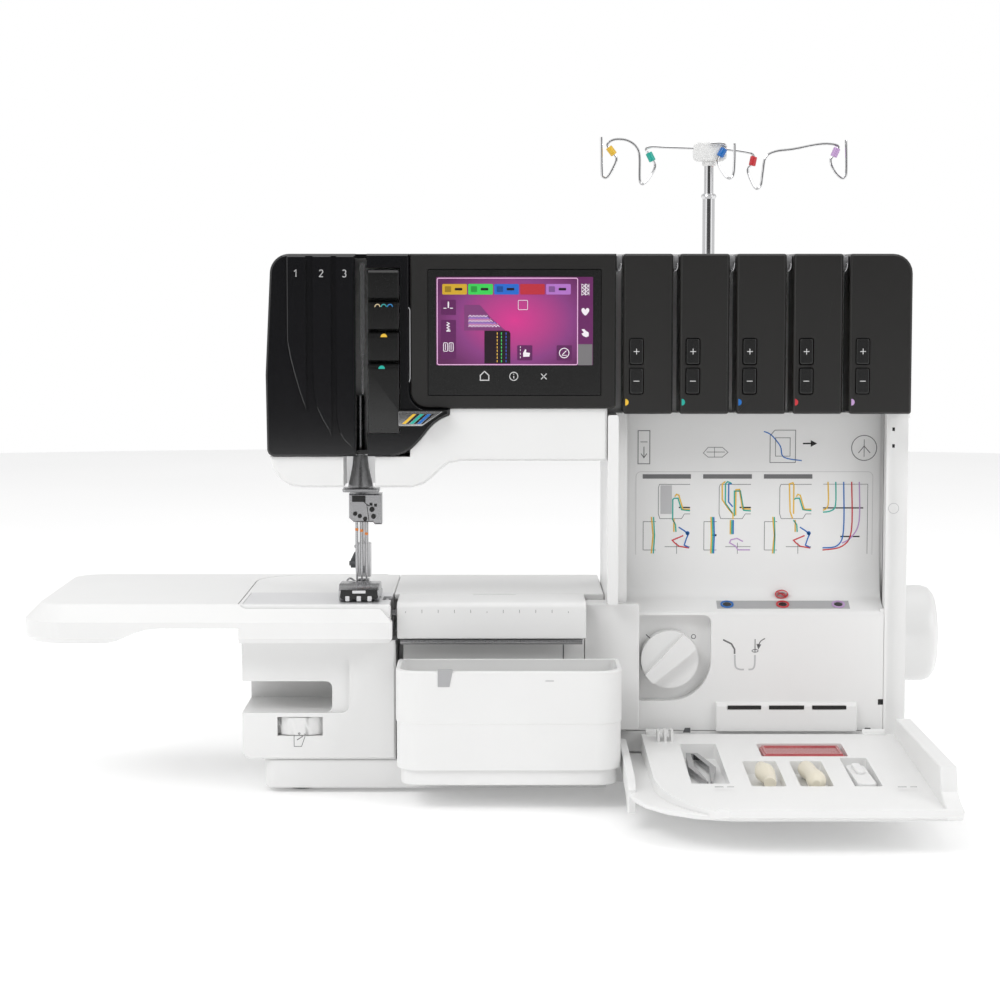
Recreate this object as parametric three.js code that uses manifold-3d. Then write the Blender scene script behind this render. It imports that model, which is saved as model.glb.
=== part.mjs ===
// A five-thread overlock (serger) machine with a touch screen, air threading, a slide-on table
// and a fold-down tool door. Millimetres, +Z up, +X to the operator's right, +Y away from the operator.
// Every piece is drawn in machine coordinates, whose zero is under the front face of the head.
// The whole group is then moved so that the part's origin is the bottom centre of its box.

import * as THREE from 'three';
import { mergeVertices } from 'three/addons/utils/BufferGeometryUtils.js';
import Module from 'manifold-3d';

const wasm = await Module();
wasm.setup();

// ---------------------------------------------------------------- driving dimensions
const FLOOR_Z = -9; // what the feet stand on
const ORIGIN_SHIFT = new THREE.Vector3(6, -10.5, -FLOOR_Z); // machine coordinates to the part's own frame
const GAP = 0.4; // clearance between neighbouring pieces
const WALL = 2.6; // thickness of the moulded shells
const CURVE_STEPS = 5; // straight steps in a quarter round

const TOP_Z = 323.4; // top of the head and tower
const BED_Z = 110.3; // sewing surface
const HEAD = { left: -143, right: -55, bottom: 200, back: 36 };
const BODY_BACK = 118; // back of the front shells' space, where the rear cover closes it
const SPLIT_Y = 84; // plane where the rear cover meets the front shells
const ARM = { bottomLeft: 180.7, bottom: 197, front: 3 };
const TOWER = { left: 66, right: 254.5, front: 24, bottom: 12.4 };
const BAY = { left: 79, right: 240, bottom: 26, top: 225 };
const BEZEL = { left: -54.6, right: 70.6, bottom: 229.5, depth: 20 };
const GLASS = { left: -43.7, right: 61.4, bottom: 237.5, top: 313.8, recess: 2.8 };
const SLOT = { left: -88, right: -81 }; // thread slot in the head

const MODULE_LEFTS = [75.1, 109.5, 144.1, 178.6, 213.0]; // left sides of the tension modules
const MODULE_WIDTH = 30.2;
const LAST_MODULE_WIDTH = 38;
const MODULE = { bottom: 226, depth: 30 };
const KEY = { offset: 4, width: 8.1, height: 15.6, plusBottom: 256.3, minusBottom: 238.3, proud: 0.9 };
const KEY_WELL_DEPTH = 6;

const ARM_BED = { left: -160, right: -67, front: -12, back: 146, cornerRadius: 38 }; // top of the free arm
const LOWER_BODY = { left: -159.3, right: -64.4, front: 1 };
const TABLE = { left: -293, right: -65.6, front: -20, back: 159, corner: 30, lip: 87.2, arch: 96.7 };
const PLATE = { left: -157, right: -67.4, front: -9.4, back: 46.6, thickness: 2 };
const NEEDLE = { x: -87, y: 32 };
const PRESSER = { x: -86, y: 48 };
const BIN = { left: -62.5, right: 73, front: -55, back: -3, rim: 75.8, ledge: 16.2, foot: 6.6, wall: 2.2 };
const DOOR = { left: 73.8, right: 255, front: -175, hingeY: 18, hingeZ: 26, plateLeft: 88 };
const KNOB = { x: 106, z: 71.4, radius: 17.9, front: 17, disc: 22, back: 31.4 };
const THUMBWHEEL = { x: -123.5, y: 22.5, radius: 21.8, bottom: 27.4, top: 38.3 };
const SHAFT = { y: 89, z: 79, radius: 5 };
const HANDWHEEL = { left: 256.2, right: 281, radius: 31 };
const MOTOR = { y: 84, z: 150, radius: 24, left: 150, right: 204 };
const PULLEY = { left: 216, right: 224, main: 20, motor: 8, belt: 1.6 };
const STAND = { left: 70, right: 250, front: 118.6, back: 196, bottom: 20, top: 32, pin: 4, pinHeight: 52 };
const MAST = { x: 139.6, y: 160, lowerRadius: 4.1, upperRadius: 3.15, lowerTop: 365, upperTop: 386 };
const HUB = { left: 128.7, right: 151.5, bottom: 386.4, top: 399, depth: 12 };
const FRAME = { front: 54, back: 58 }; // the cast frame's plate
const WIRE_RADIUS = 0.9;

// ---------------------------------------------------------------- materials
function finish(colour, roughness, metalness = 0) {
  return new THREE.MeshStandardMaterial({ color: colour, roughness, metalness });
}
const white = finish('#f1f1f0', 0.35);
const glossBlack = finish('#0b0b0c', 0.12);
const satinBlack = finish('#262524', 0.4);
const chrome = finish('#c9cbce', 0.15, 1);
const steel = finish('#9fa2a6', 0.35, 1);
const castMetal = finish('#8d8f92', 0.6, 0.8);
const darkPlastic = finish('#303236', 0.5);
const rubber = finish('#1c1c1c', 0.85);
const redPlastic = finish('#d4545c', 0.25);
const screenGlass = finish('#6b1d52', 0.1);

// ---------------------------------------------------------------- solids and booleans
// A closed geometry as a solid. Slivers that collapse when shared corners merge are left out.
function solid(geometry) {
  const bare = geometry.index ? geometry.toNonIndexed() : geometry.clone();
  bare.deleteAttribute('normal');
  bare.deleteAttribute('uv');
  const merged = mergeVertices(bare, 1e-4);
  const corners = merged.index.array;
  const triVerts = [];
  for (let i = 0; i < corners.length; i += 3) {
    const [a, b, c] = corners.subarray(i, i + 3);
    if (a !== b && b !== c && c !== a) triVerts.push(a, b, c);
  }
  return new wasm.Manifold(new wasm.Mesh({
    numProp: 3,
    vertProperties: new Float32Array(merged.attributes.position.array),
    triVerts: new Uint32Array(triVerts),
  }));
}

function join(...pieces) {
  return pieces.reduce((whole, piece) => whole.add(piece));
}

function cut(whole, ...pieces) {
  return pieces.reduce((rest, piece) => rest.subtract(piece), whole);
}

// The same solid grown by the clearance along each axis, to cut room for a neighbour.
function room(piece, gap = GAP) {
  const steps = [[gap, 0, 0], [-gap, 0, 0], [0, gap, 0], [0, -gap, 0], [0, 0, gap], [0, 0, -gap]];
  return steps.reduce((whole, step) => whole.add(piece.translate(step)), piece);
}

function toGeometry(manifold) {
  const mesh = manifold.getMesh();
  const geometry = new THREE.BufferGeometry();
  const stride = mesh.numProp;
  const positions = new Float32Array((mesh.vertProperties.length / stride) * 3);
  for (let i = 0; i < positions.length / 3; i += 1) {
    positions.set(mesh.vertProperties.subarray(i * stride, i * stride + 3), i * 3);
  }
  geometry.setAttribute('position', new THREE.BufferAttribute(positions, 3));
  geometry.setIndex(new THREE.BufferAttribute(new Uint32Array(mesh.triVerts), 1));
  return geometry;
}

// ---------------------------------------------------------------- outlines
// A rounded rectangle; radii are [lower left, lower right, upper right, upper left] or one number.
function roundRect(x0, y0, x1, y1, radii = 0) {
  const [a, b, c, d] = Array.isArray(radii) ? radii : [radii, radii, radii, radii];
  const shape = new THREE.Shape();
  shape.moveTo(x0 + a, y0);
  shape.lineTo(x1 - b, y0);
  if (b > 0) shape.absarc(x1 - b, y0 + b, b, -Math.PI / 2, 0, false);
  shape.lineTo(x1, y1 - c);
  if (c > 0) shape.absarc(x1 - c, y1 - c, c, 0, Math.PI / 2, false);
  shape.lineTo(x0 + d, y1);
  if (d > 0) shape.absarc(x0 + d, y1 - d, d, Math.PI / 2, Math.PI, false);
  shape.lineTo(x0, y0 + a);
  if (a > 0) shape.absarc(x0 + a, y0 + a, a, Math.PI, 1.5 * Math.PI, false);
  return shape;
}

function polygon(points) {
  return new THREE.Shape(points.map(([x, y]) => new THREE.Vector2(x, y)));
}

// ---------------------------------------------------------------- extrusions
function extrudeRaw(shape, length, bevel, steps) {
  return new THREE.ExtrudeGeometry(shape, {
    depth: length - 2 * bevel,
    bevelEnabled: bevel > 0,
    bevelThickness: bevel,
    bevelSize: bevel,
    bevelOffset: -bevel,
    bevelSegments: 1,
    curveSegments: steps,
  }).translate(0, 0, bevel);
}

// Outline in X and Y, raised from z0 to z1.
function plan(shape, z0, z1, bevel = 0, steps = CURVE_STEPS) {
  return solid(extrudeRaw(shape, z1 - z0, bevel, steps).translate(0, 0, z0));
}

// Outline in X and Z, running back from y0 to y1.
function front(shape, y0, y1, bevel = 0, steps = CURVE_STEPS) {
  return solid(extrudeRaw(shape, y1 - y0, bevel, steps).rotateX(Math.PI / 2).translate(0, y1, 0));
}

// Outline in Y and Z, running right from x0 to x1.
function side(shape, x0, x1, bevel = 0, steps = CURVE_STEPS) {
  const turn = new THREE.Matrix4().makeBasis(
    new THREE.Vector3(0, 1, 0), new THREE.Vector3(0, 0, 1), new THREE.Vector3(1, 0, 0));
  return solid(extrudeRaw(shape, x1 - x0, bevel, steps).applyMatrix4(turn).translate(x0, 0, 0));
}

function box(x0, x1, y0, y1, z0, z1) {
  return plan(roundRect(x0, y0, x1, y1), z0, z1);
}

// A round bar along 'x', 'y' or 'z', from low to high, centred at (a, b) in the other two axes.
function bar(axis, radius, low, high, a, b, sides = 24, endRadius = radius) {
  const geometry = new THREE.CylinderGeometry(endRadius, radius, high - low, sides);
  const middle = (low + high) / 2;
  if (axis === 'x') geometry.rotateZ(-Math.PI / 2).translate(middle, a, b);
  if (axis === 'y') geometry.translate(a, middle, b);
  if (axis === 'z') geometry.rotateX(Math.PI / 2).translate(a, b, middle);
  return solid(geometry);
}

// A body turned about an upright axis at (x, y); the profile lists [radius, height] from bottom to top.
function turned(profile, x, y, sides = 24) {
  const points = profile.map(([radius, height]) => new THREE.Vector2(radius, height));
  return solid(new THREE.LatheGeometry(points, sides).rotateX(Math.PI / 2).translate(x, y, 0));
}

// A round wire through the points.
function wire(points, radius, steps, sides = 6, tension = 0.35) {
  const path = new THREE.CatmullRomCurve3(
    points.map(([x, y, z]) => new THREE.Vector3(x, y, z)), false, 'catmullrom', tension);
  const section = new THREE.Shape().absarc(0, 0, radius, 0, 2 * Math.PI, false);
  return solid(new THREE.ExtrudeGeometry(section, { steps, extrudePath: path, curveSegments: sides / 2 }));
}

// ---------------------------------------------------------------- scene
const machine = new THREE.Group();
machine.position.copy(ORIGIN_SHIFT);

function add(name, piece, material) {
  const mesh = new THREE.Mesh(toGeometry(piece), material);
  mesh.name = name;
  machine.add(mesh);
}

// ---------------------------------------------------------------- feet and base
const FOOT_TOP = -6.6;
for (const [name, x, y] of [
  ['foot_front_left', -124, 24], ['foot_front_right', 232, 44],
  ['foot_rear_left', -124, 128], ['foot_rear_right', 232, 128]]) {
  add(name, bar('z', 9, FLOOR_Z, FOOT_TOP, x, y, 24, 8), rubber);
}

// The tray steps back on the right, where the open door swings down in front of it.
const TRAY = { left: -146, right: 248, front: 3, back: 144, doorFront: 22 };
const trayOutline = new THREE.Shape();
trayOutline.moveTo(TRAY.left + 8, TRAY.front);
trayOutline.lineTo(TOWER.left, TRAY.front);
trayOutline.lineTo(TOWER.left, TRAY.doorFront);
trayOutline.lineTo(TRAY.right, TRAY.doorFront);
trayOutline.lineTo(TRAY.right, TRAY.back);
trayOutline.lineTo(TRAY.left, TRAY.back);
trayOutline.lineTo(TRAY.left, TRAY.front + 8);
trayOutline.absarc(TRAY.left + 8, TRAY.front + 8, 8, Math.PI, 1.5 * Math.PI, false);
add('base_tray', plan(trayOutline, FOOT_TOP + GAP, TOWER.bottom - GAP, 1), white);

// ---------------------------------------------------------------- free arm
// Lower block with the sleeve gap, and above it the arm that the slide-on table wraps.
const SLEEVE_GAP = { right: -103.7, bottom: 41.3, top: 60.6, back: 61 };
const RECESS = { right: -93, top: 77, depth: 3 };
const blockTop = TABLE.lip - GAP;
const PAST_LEFT = -175; // cuts that leave through the left side start here
const BED_RADII = [6, 0, 0, ARM_BED.cornerRadius];
const bedPlan = roundRect(ARM_BED.left, ARM_BED.front, ARM_BED.right, ARM_BED.back, BED_RADII);
let freeArm = front(roundRect(LOWER_BODY.left, TOWER.bottom, LOWER_BODY.right, blockTop, [6, 0, 0, 0]),
  LOWER_BODY.front, ARM_BED.back, 1.2);
freeArm = join(freeArm, plan(bedPlan, blockTop - 0.2, BED_Z, 0.6));
const sleeveGap = front(
  roundRect(PAST_LEFT, SLEEVE_GAP.bottom, SLEEVE_GAP.right, SLEEVE_GAP.top, [0, 4, 4, 0]), -10, SLEEVE_GAP.back);
const sleeveRecess = front(roundRect(PAST_LEFT, SLEEVE_GAP.bottom, RECESS.right, RECESS.top, [0, 5, 5, 0]),
  -10, LOWER_BODY.front + RECESS.depth);
const WHEEL_ROOM = { left: -137.5, right: -109.5, bottom: 26.9, top: 38.8 };
const wheelWindow = box(WHEEL_ROOM.left, WHEEL_ROOM.right, -10, 20, WHEEL_ROOM.bottom, WHEEL_ROOM.top);
const wheelPocket = bar('z', THUMBWHEEL.radius + 1, WHEEL_ROOM.bottom, WHEEL_ROOM.top,
  THUMBWHEEL.x, THUMBWHEEL.y + 0.6, 40);
const plateSeat = plan(roundRect(PLATE.left - GAP, PLATE.front - GAP, PLATE.right + 5, PLATE.back + GAP),
  BED_Z - PLATE.thickness - GAP, BED_Z + 1);
const feedWell = box(-104, -60, 2, 44, 84, BED_Z + 1);
freeArm = cut(freeArm, sleeveGap, sleeveRecess, wheelWindow, wheelPocket, plateSeat, feedWell);
add('free_arm_housing', freeArm, white);

add('thumbwheel', (() => {
  const ribs = 60;
  const outline = new THREE.Shape();
  for (let i = 0; i < ribs; i += 1) {
    const angle = (2 * Math.PI * i) / ribs;
    const radius = THUMBWHEEL.radius - (i % 2) * 0.6;
    const x = THUMBWHEEL.x + radius * Math.cos(angle);
    const y = THUMBWHEEL.y + radius * Math.sin(angle);
    if (i === 0) outline.moveTo(x, y);
    else outline.lineTo(x, y);
  }
  return plan(outline, THUMBWHEEL.bottom, THUMBWHEEL.top);
})(), white);

// Stitch plate with three feed slots, a needle opening and the knife gap on its right edge.
let plate = plan(roundRect(PLATE.left, PLATE.front, PLATE.right, PLATE.back, 1),
  BED_Z - PLATE.thickness, BED_Z + 0.2);
const FEED_ROWS = [{ x: -96.5, back: 36 }, { x: -87, back: 22 }, { x: -78.5, back: 36 }];
for (const row of FEED_ROWS) plate = cut(plate, box(row.x - 1.6, row.x + 1.6, 6, row.back + 2.5, 100, 120));
const needleOpening = box(-91.2, -81.6, 26, 31, 90, 125);
plate = cut(plate, needleOpening, box(-73, -60, 10, 28, 100, 120));
add('stitch_plate', plate, steel);

// Feed dog: one carrier with three toothed rails under the slots.
const TOOTH_PITCH = 4;
let feedDog = box(-100, -75, 10, 36, 98, 102);
for (const row of FEED_ROWS) {
  const outline = [[9, 101], [row.back, 101], [row.back, 107.4]];
  for (let y = row.back - 2; y > 10; y -= TOOTH_PITCH) outline.push([y, 106.4], [y - 2, 107.6]);
  feedDog = join(feedDog, side(polygon(outline), row.x - 1, row.x + 1));
}
feedDog = cut(feedDog, box(-92.5, -81, 23.5, 33, 90, 120));
add('feed_dog', feedDog, steel);

// ---------------------------------------------------------------- slide-on table
// A moulded tray turned upside down, open to the right where it slides over the free arm.
const TABLE_SKIN = 3;
function leftRounded(left, front_, right, back, radius) {
  return roundRect(left, front_, right, back, [radius, 0, 0, radius]);
}
const apronArch = new THREE.Shape();
apronArch.moveTo(-240, 80);
apronArch.lineTo(-240, TABLE.lip);
apronArch.bezierCurveTo(-230, TABLE.lip + 1, -222, TABLE.arch, -208, TABLE.arch);
apronArch.lineTo(-159, TABLE.arch);
apronArch.lineTo(-159, 80);
const tableOutline = leftRounded(TABLE.left, TABLE.front, TABLE.right, TABLE.back, TABLE.corner);
const BULLNOSE = 10; // rounding of the table's top edge
let table = plan(tableOutline, TABLE.lip, BED_Z + 9, 3).intersect(plan(tableOutline, 50, BED_Z, BULLNOSE, 8));
table = cut(table,
  front(apronArch, TABLE.front - 5, TABLE.back + 5),
  plan(leftRounded(TABLE.left + TABLE_SKIN, TABLE.front + TABLE_SKIN, ARM_BED.left - 6,
    TABLE.back - TABLE_SKIN, TABLE.corner - TABLE_SKIN), 50, BED_Z - TABLE_SKIN, 8),
  plan(roundRect(ARM_BED.left - GAP, ARM_BED.front - GAP, 0, ARM_BED.back + GAP, BED_RADII), 50, 150));
add('slide_on_table', table, white);

// ---------------------------------------------------------------- fixed bed right of the free arm
const LOOPER_COVER = { left: -63.4, right: 53, bottom: 87.5, back: 42, skin: 2.5, round: 4 };
// An upside-down channel with a step in front, where the loopers work above the waste bin.
const BED_SKIN = 3;
const BAY_FLOOR = 60;
const bedFront = LOOPER_COVER.back + GAP;
const bedProfile = polygon([
  [4, TOWER.bottom], [4, BAY_FLOOR], [bedFront, BAY_FLOOR], [bedFront, BED_Z], [ARM_BED.back, BED_Z],
  [ARM_BED.back, TOWER.bottom], [ARM_BED.back - BED_SKIN, TOWER.bottom], [ARM_BED.back - BED_SKIN, BED_Z - 4],
  [bedFront + BED_SKIN, BED_Z - 4], [bedFront + BED_SKIN, BAY_FLOOR - BED_SKIN],
  [4 + BED_SKIN, BAY_FLOOR - BED_SKIN], [4 + BED_SKIN, TOWER.bottom]]);
let bed = side(bedProfile, LOWER_BODY.right + GAP, TOWER.left - GAP);
bed = join(bed, box(ARM_BED.right + GAP, 0, bedFront, ARM_BED.back, BED_Z - 4, BED_Z));
bed = cut(bed, box(50, 80, -5, 40.5, 10, 120));
add('bed_cover', bed, white);

// Sliding and folding looper cover, with a finger notch in its top.
const cover = LOOPER_COVER;
const coverOutline = new THREE.Shape();
coverOutline.moveTo(0, cover.bottom);
coverOutline.lineTo(cover.skin, cover.bottom);
coverOutline.lineTo(cover.skin, BED_Z - cover.round);
coverOutline.absarc(cover.round, BED_Z - cover.round, cover.round - cover.skin, Math.PI, Math.PI / 2, true);
coverOutline.lineTo(cover.back, BED_Z - cover.skin);
coverOutline.lineTo(cover.back, BED_Z);
coverOutline.lineTo(cover.round, BED_Z);
coverOutline.absarc(cover.round, BED_Z - cover.round, cover.round, Math.PI / 2, Math.PI, false);
coverOutline.lineTo(0, cover.bottom);
let looperCover = side(coverOutline, cover.left, cover.right);
looperCover = cut(looperCover, plan(roundRect(-17, cover.back - 5, 10, cover.back + 5, 3), 100, 120));
add('looper_cover', looperCover, white);
const ROD = { y: 3.4, z: 85.4, radius: 1.8 };
add('cover_hinge_rod', bar('x', ROD.radius, cover.left + 2, cover.right - 2, ROD.y, ROD.z, 16), steel);

// ---------------------------------------------------------------- waste bin
const bin = BIN;
const BIN_RIDGE_Z = 43.6; // above it the walls stand a little prouder
const RIDGE = 0.5;
function binPlan(inset, radius, low, high, bevel = 0) {
  return plan(roundRect(bin.left + inset, bin.front + inset, bin.right - inset, bin.back - inset,
    [radius, radius, 3, 3]), low, high, bevel);
}
const wasteBin = cut(
  join(
    binPlan(0, 15, BIN_RIDGE_Z, bin.rim, 0.8),
    binPlan(RIDGE, 14.5, bin.ledge, BIN_RIDGE_Z + 1),
    binPlan(3, 12, bin.foot, bin.ledge + 2, 0.8)),
  binPlan(5.4, 11, bin.foot + bin.wall, bin.rim + 5),
  binPlan(bin.wall + RIDGE, 13, bin.ledge + 3, bin.rim + 5));
add('waste_bin', wasteBin, white);

// ---------------------------------------------------------------- head, bezel and guides
// The lower right of the black head ends in an S curve under the bezel.
const headOutline = new THREE.Shape();
headOutline.moveTo(HEAD.left + 5, HEAD.bottom);
headOutline.lineTo(-69, HEAD.bottom);
headOutline.bezierCurveTo(-57, HEAD.bottom, -53, 206, -49, 210);
headOutline.bezierCurveTo(-44, 216, -41, 222, -31, 225.4);
headOutline.lineTo(-31, BEZEL.bottom - GAP);
headOutline.lineTo(-44, BEZEL.bottom - GAP);
headOutline.absarc(-44, 240, 240 - BEZEL.bottom + GAP, 1.5 * Math.PI, Math.PI, true);
headOutline.lineTo(HEAD.right, TOP_Z);
headOutline.lineTo(HEAD.left + 15, TOP_Z);
headOutline.absarc(HEAD.left + 15, TOP_Z - 12, 12, Math.PI / 2, Math.PI, false);
headOutline.lineTo(HEAD.left, 250);
headOutline.lineTo(HEAD.left + 0.6, HEAD.bottom + 4.4);
headOutline.absarc(HEAD.left + 5, HEAD.bottom + 4.4, 4.4, Math.PI, 1.5 * Math.PI, false);
const headSolid = front(headOutline, 0, HEAD.back, 1.2);

const headHollow = front(
  roundRect(HEAD.left + WALL + 1, HEAD.bottom + WALL, HEAD.right - WALL - 1, TOP_Z - WALL, 8), 6, HEAD.back + 1);
const slotCut = box(SLOT.left, SLOT.right, -5, 20, HEAD.bottom - 1, TOP_Z + 1);
const guideSeat = box(SLOT.right - 1, HEAD.right - 6, -5, 9, 214, 315);
const needleBore = bar('z', 3.7, 190, 245, NEEDLE.x, NEEDLE.y, 16);
let headCover = cut(headSolid, headHollow, slotCut, guideSeat, needleBore);

// Three raised channels that sweep together towards the slot at the bottom.
const CHANNELS = [[-129.5, -118, 271, 228], [-114, -102.5, 241, 212], [-99.7, -88.6, 223, 202]];
for (const [left, right, bendLeft, bendRight] of CHANNELS) {
  const ridge = new THREE.Shape();
  ridge.moveTo(left, bendLeft);
  ridge.bezierCurveTo(left + 2, bendLeft - 16, right - 3, bendRight + 8, right, bendRight);
  ridge.lineTo(right, TOP_Z - 1.4);
  ridge.lineTo(left, TOP_Z - 1.4);
  headCover = join(headCover, front(ridge, -1.6, 2, 0.5, 5));
}
add('head_cover', headCover, glossBlack);

// Stepped block right of the slot: a cap and three rounded steps, each lower than the last.
const GUIDE = { left: -80.6, right: -61.5 };
const guideOutline = new THREE.Shape();
guideOutline.moveTo(8.6, 214.6);
guideOutline.lineTo(-1, 214.6);
guideOutline.lineTo(-3, 228);
for (const [low, high] of [[228, 257], [259, 276], [278, 294.5], [297, 313.8]]) {
  guideOutline.lineTo(-3, low);
  guideOutline.lineTo(-3, high - 4);
  guideOutline.quadraticCurveTo(-3, high, 1, high);
}
guideOutline.lineTo(8.6, 313.8);
add('thread_guide_block', join(
  side(guideOutline, GUIDE.left + 0.2, GUIDE.right, 0.4, 3),
  front(polygon([[-62, 218.5], [-47, 218.5], [-33, 228.5], [-62, 228.5]]), -8, -0.6)), glossBlack);

// Chrome take-up lever that runs up and down in the slot.
add('take_up_lever', join(
  front(roundRect(-85.4, 262, -82.6, 318, 1.2), 5, 9),
  front(roundRect(-84.6, 238, -83.4, 264, 0.5), 5.5, 8.5)), chrome);

const bezelOutline = roundRect(BEZEL.left, BEZEL.bottom, BEZEL.right, TOP_Z, [10.5, 2, 0, 0]);
const bezelSeat = front(
  roundRect(GLASS.left - GAP, GLASS.bottom - GAP, GLASS.right + GAP, GLASS.top + GAP, 1),
  -5, GLASS.recess + 0.4);
const bezelHollow = box(BEZEL.left + 12, BEZEL.right - 4, 6, BEZEL.depth + 5, BEZEL.bottom + 4, TOP_Z - 4);
add('display_bezel', cut(front(bezelOutline, 0, BEZEL.depth, 0.9), bezelSeat, bezelHollow), satinBlack);
const glassOutline = roundRect(GLASS.left, GLASS.bottom, GLASS.right, GLASS.top, 0.8);
add('touch_screen', front(glassOutline, 0.2, GLASS.recess), screenGlass);

// ---------------------------------------------------------------- thread tension modules and keys
MODULE_LEFTS.forEach((left, index) => {
  const isLast = index === MODULE_LEFTS.length - 1;
  const right = left + (isLast ? LAST_MODULE_WIDTH : MODULE_WIDTH);
  const outline = roundRect(left, MODULE.bottom, right, TOP_Z, [1.6, 1.6, isLast ? 12 : 1.6, 1.6]);
  const keyLeft = left + KEY.offset;
  const keyOutline = (z, gap, radius) => roundRect(
    keyLeft - gap, z - gap, keyLeft + KEY.width + gap, z + KEY.height + gap, radius);
  const wells = [KEY.plusBottom, KEY.minusBottom].map(
    (z) => front(keyOutline(z, GAP, 1.6), -5, KEY_WELL_DEPTH, 0, 2));
  add(`tension_module_${index + 1}`, cut(front(outline, 0, MODULE.depth, 1.2, 3), ...wells), glossBlack);
  for (const [kind, z] of [['plus', KEY.plusBottom], ['minus', KEY.minusBottom]]) {
    add(`${kind}_key_${index + 1}`, front(keyOutline(z, 0, 1.4), -KEY.proud, KEY_WELL_DEPTH - 2, 0.5, 2),
      glossBlack);
  }
});

// ---------------------------------------------------------------- white arm, from the head to the tower
// Windows that let the cast frame pass from the arm and the bed into the tower.
const frameWindows = [[212, 303], [20, 97]].map(
  ([z0, z1]) => box(60, 70, FRAME.front - 2, FRAME.back + 2, z0, z1));
function armOutline() {
  const outline = new THREE.Shape();
  outline.moveTo(-121, ARM.bottomLeft);
  outline.lineTo(-54, ARM.bottomLeft);
  outline.bezierCurveTo(-40, ARM.bottomLeft + 1, -38, ARM.bottom, -24.5, ARM.bottom);
  outline.lineTo(TOWER.left - GAP, ARM.bottom);
  outline.lineTo(TOWER.left - GAP, TOP_Z);
  outline.lineTo(HEAD.left + 14, TOP_Z);
  outline.absarc(HEAD.left + 14, TOP_Z - 13, 13, Math.PI / 2, Math.PI, false);
  outline.lineTo(HEAD.left + 1, 208);
  outline.bezierCurveTo(HEAD.left + 1, 190, -134, ARM.bottomLeft, -121, ARM.bottomLeft);
  return outline;
}
const NOTCH = { left: -96, right: -76.5, back: 41 }; // open front slot for the needle bar's cone
let arm = front(armOutline(), ARM.front, SPLIT_Y - GAP, 1.4);
arm = cut(arm,
  room(headSolid),
  box(HEAD.left - 5, HEAD.right, -5, HEAD.back + GAP, HEAD.bottom - GAP, TOP_Z + 5),
  box(BEZEL.left - 20, TOWER.left + 5, -5, BEZEL.depth + GAP, BEZEL.bottom - GAP, TOP_Z + 5),
  box(NOTCH.left, NOTCH.right, -5, NOTCH.back, 170, HEAD.bottom + 1));
const armHollow = join(
  box(HEAD.left + 5, TOWER.left - 4, HEAD.back + 4, SPLIT_Y + 5, HEAD.bottom + 1, TOP_Z - 3.5),
  box(-118, -58, NOTCH.back + 4, SPLIT_Y + 5, ARM.bottomLeft + 3, HEAD.bottom + 2));
const barBores = join(
  bar('z', 3.6, 150, 230, NEEDLE.x, NEEDLE.y, 16),
  bar('z', 3.6, 150, 230, PRESSER.x, PRESSER.y, 16));
arm = cut(arm, armHollow, barBores, ...frameWindows);
add('arm_cover', arm, white);

// ---------------------------------------------------------------- tower
let tower = join(
  front(roundRect(TOWER.left, TOWER.bottom, TOWER.right, TOP_Z, [4, 6, 12, 0]),
    TOWER.front, SPLIT_Y - GAP, 1.2),
  front(roundRect(TOWER.left, 108.4, 72.6, 225.2, 1.5), 2, TOWER.front + 4),
  front(roundRect(52.4, 28, 86.5, 107.2, 2), 15.5, 23.5, 0.5),
  box(cover.right + GAP, 78.6, 20, 36, 28, 107.2));
tower = cut(tower,
  box(TOWER.left - 5, TOWER.right + 5, -5, MODULE.depth + GAP, 225.6, TOP_Z + 5),
  box(BAY.left, BAY.right, TOWER.front - 0.3, 52, BAY.bottom, BAY.top),
  box(TOWER.left + 3, TOWER.right - 3, 34, SPLIT_Y + 5, TOWER.bottom + 3, TOP_Z - 3),
  box(242, TOWER.right + 5, -5, 31, 20, 222),
  box(250.8, 260, 53.4, 64.6, 31.4, 46.6),
  ...frameWindows);
add('tower_housing', tower, white);

const SWITCH = { y: 59, z: 39 };
const switchOutline = roundRect(251.2, SWITCH.z - 7, 256.4, SWITCH.z + 7, 0.8);
add('power_switch', front(switchOutline, SWITCH.y - 5, SWITCH.y + 5), darkPlastic);

// Inner panel of the bay: upright at the top, sweeping forward over a ledge to the lower face.
const bayOutline = new THREE.Shape();
bayOutline.moveTo(24, BAY.bottom + GAP);
bayOutline.lineTo(24, 98);
bayOutline.quadraticCurveTo(24, 101, 26.5, 102);
bayOutline.lineTo(38, 107);
bayOutline.bezierCurveTo(43, 110, 46, 120, 46, 138);
bayOutline.lineTo(46, BAY.top - GAP);
bayOutline.lineTo(48.6, BAY.top - GAP);
bayOutline.lineTo(48.6, 138);
bayOutline.bezierCurveTo(48.6, 120, 45, 107, 38, 104);
bayOutline.lineTo(28, 100);
bayOutline.lineTo(26.6, 98);
bayOutline.lineTo(26.6, BAY.bottom + GAP);
const brushProfile = polygon([[20.4, 26.4], [20.4, 42], [22.4, 44.4], [25, 44.4], [25, 26.4]]);
const brushBlock = side(brushProfile, 135, 223, 0.4);
let bayPanel = join(side(bayOutline, BAY.left + GAP, BAY.right - GAP), brushBlock,
  box(84, 134.5, 24.5, 35, 43, 101));
for (const [left, right] of [[142, 163], [168, 190], [195, 216]]) {
  bayPanel = cut(bayPanel, box(left, right, 15, 23.6, 40, 42.6));
}
bayPanel = cut(bayPanel, front(roundRect(86, 45, 132, 99, [3, 26, 5, 3]), 15, KNOB.back + GAP));
add('bay_panel', bayPanel, white);

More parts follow.
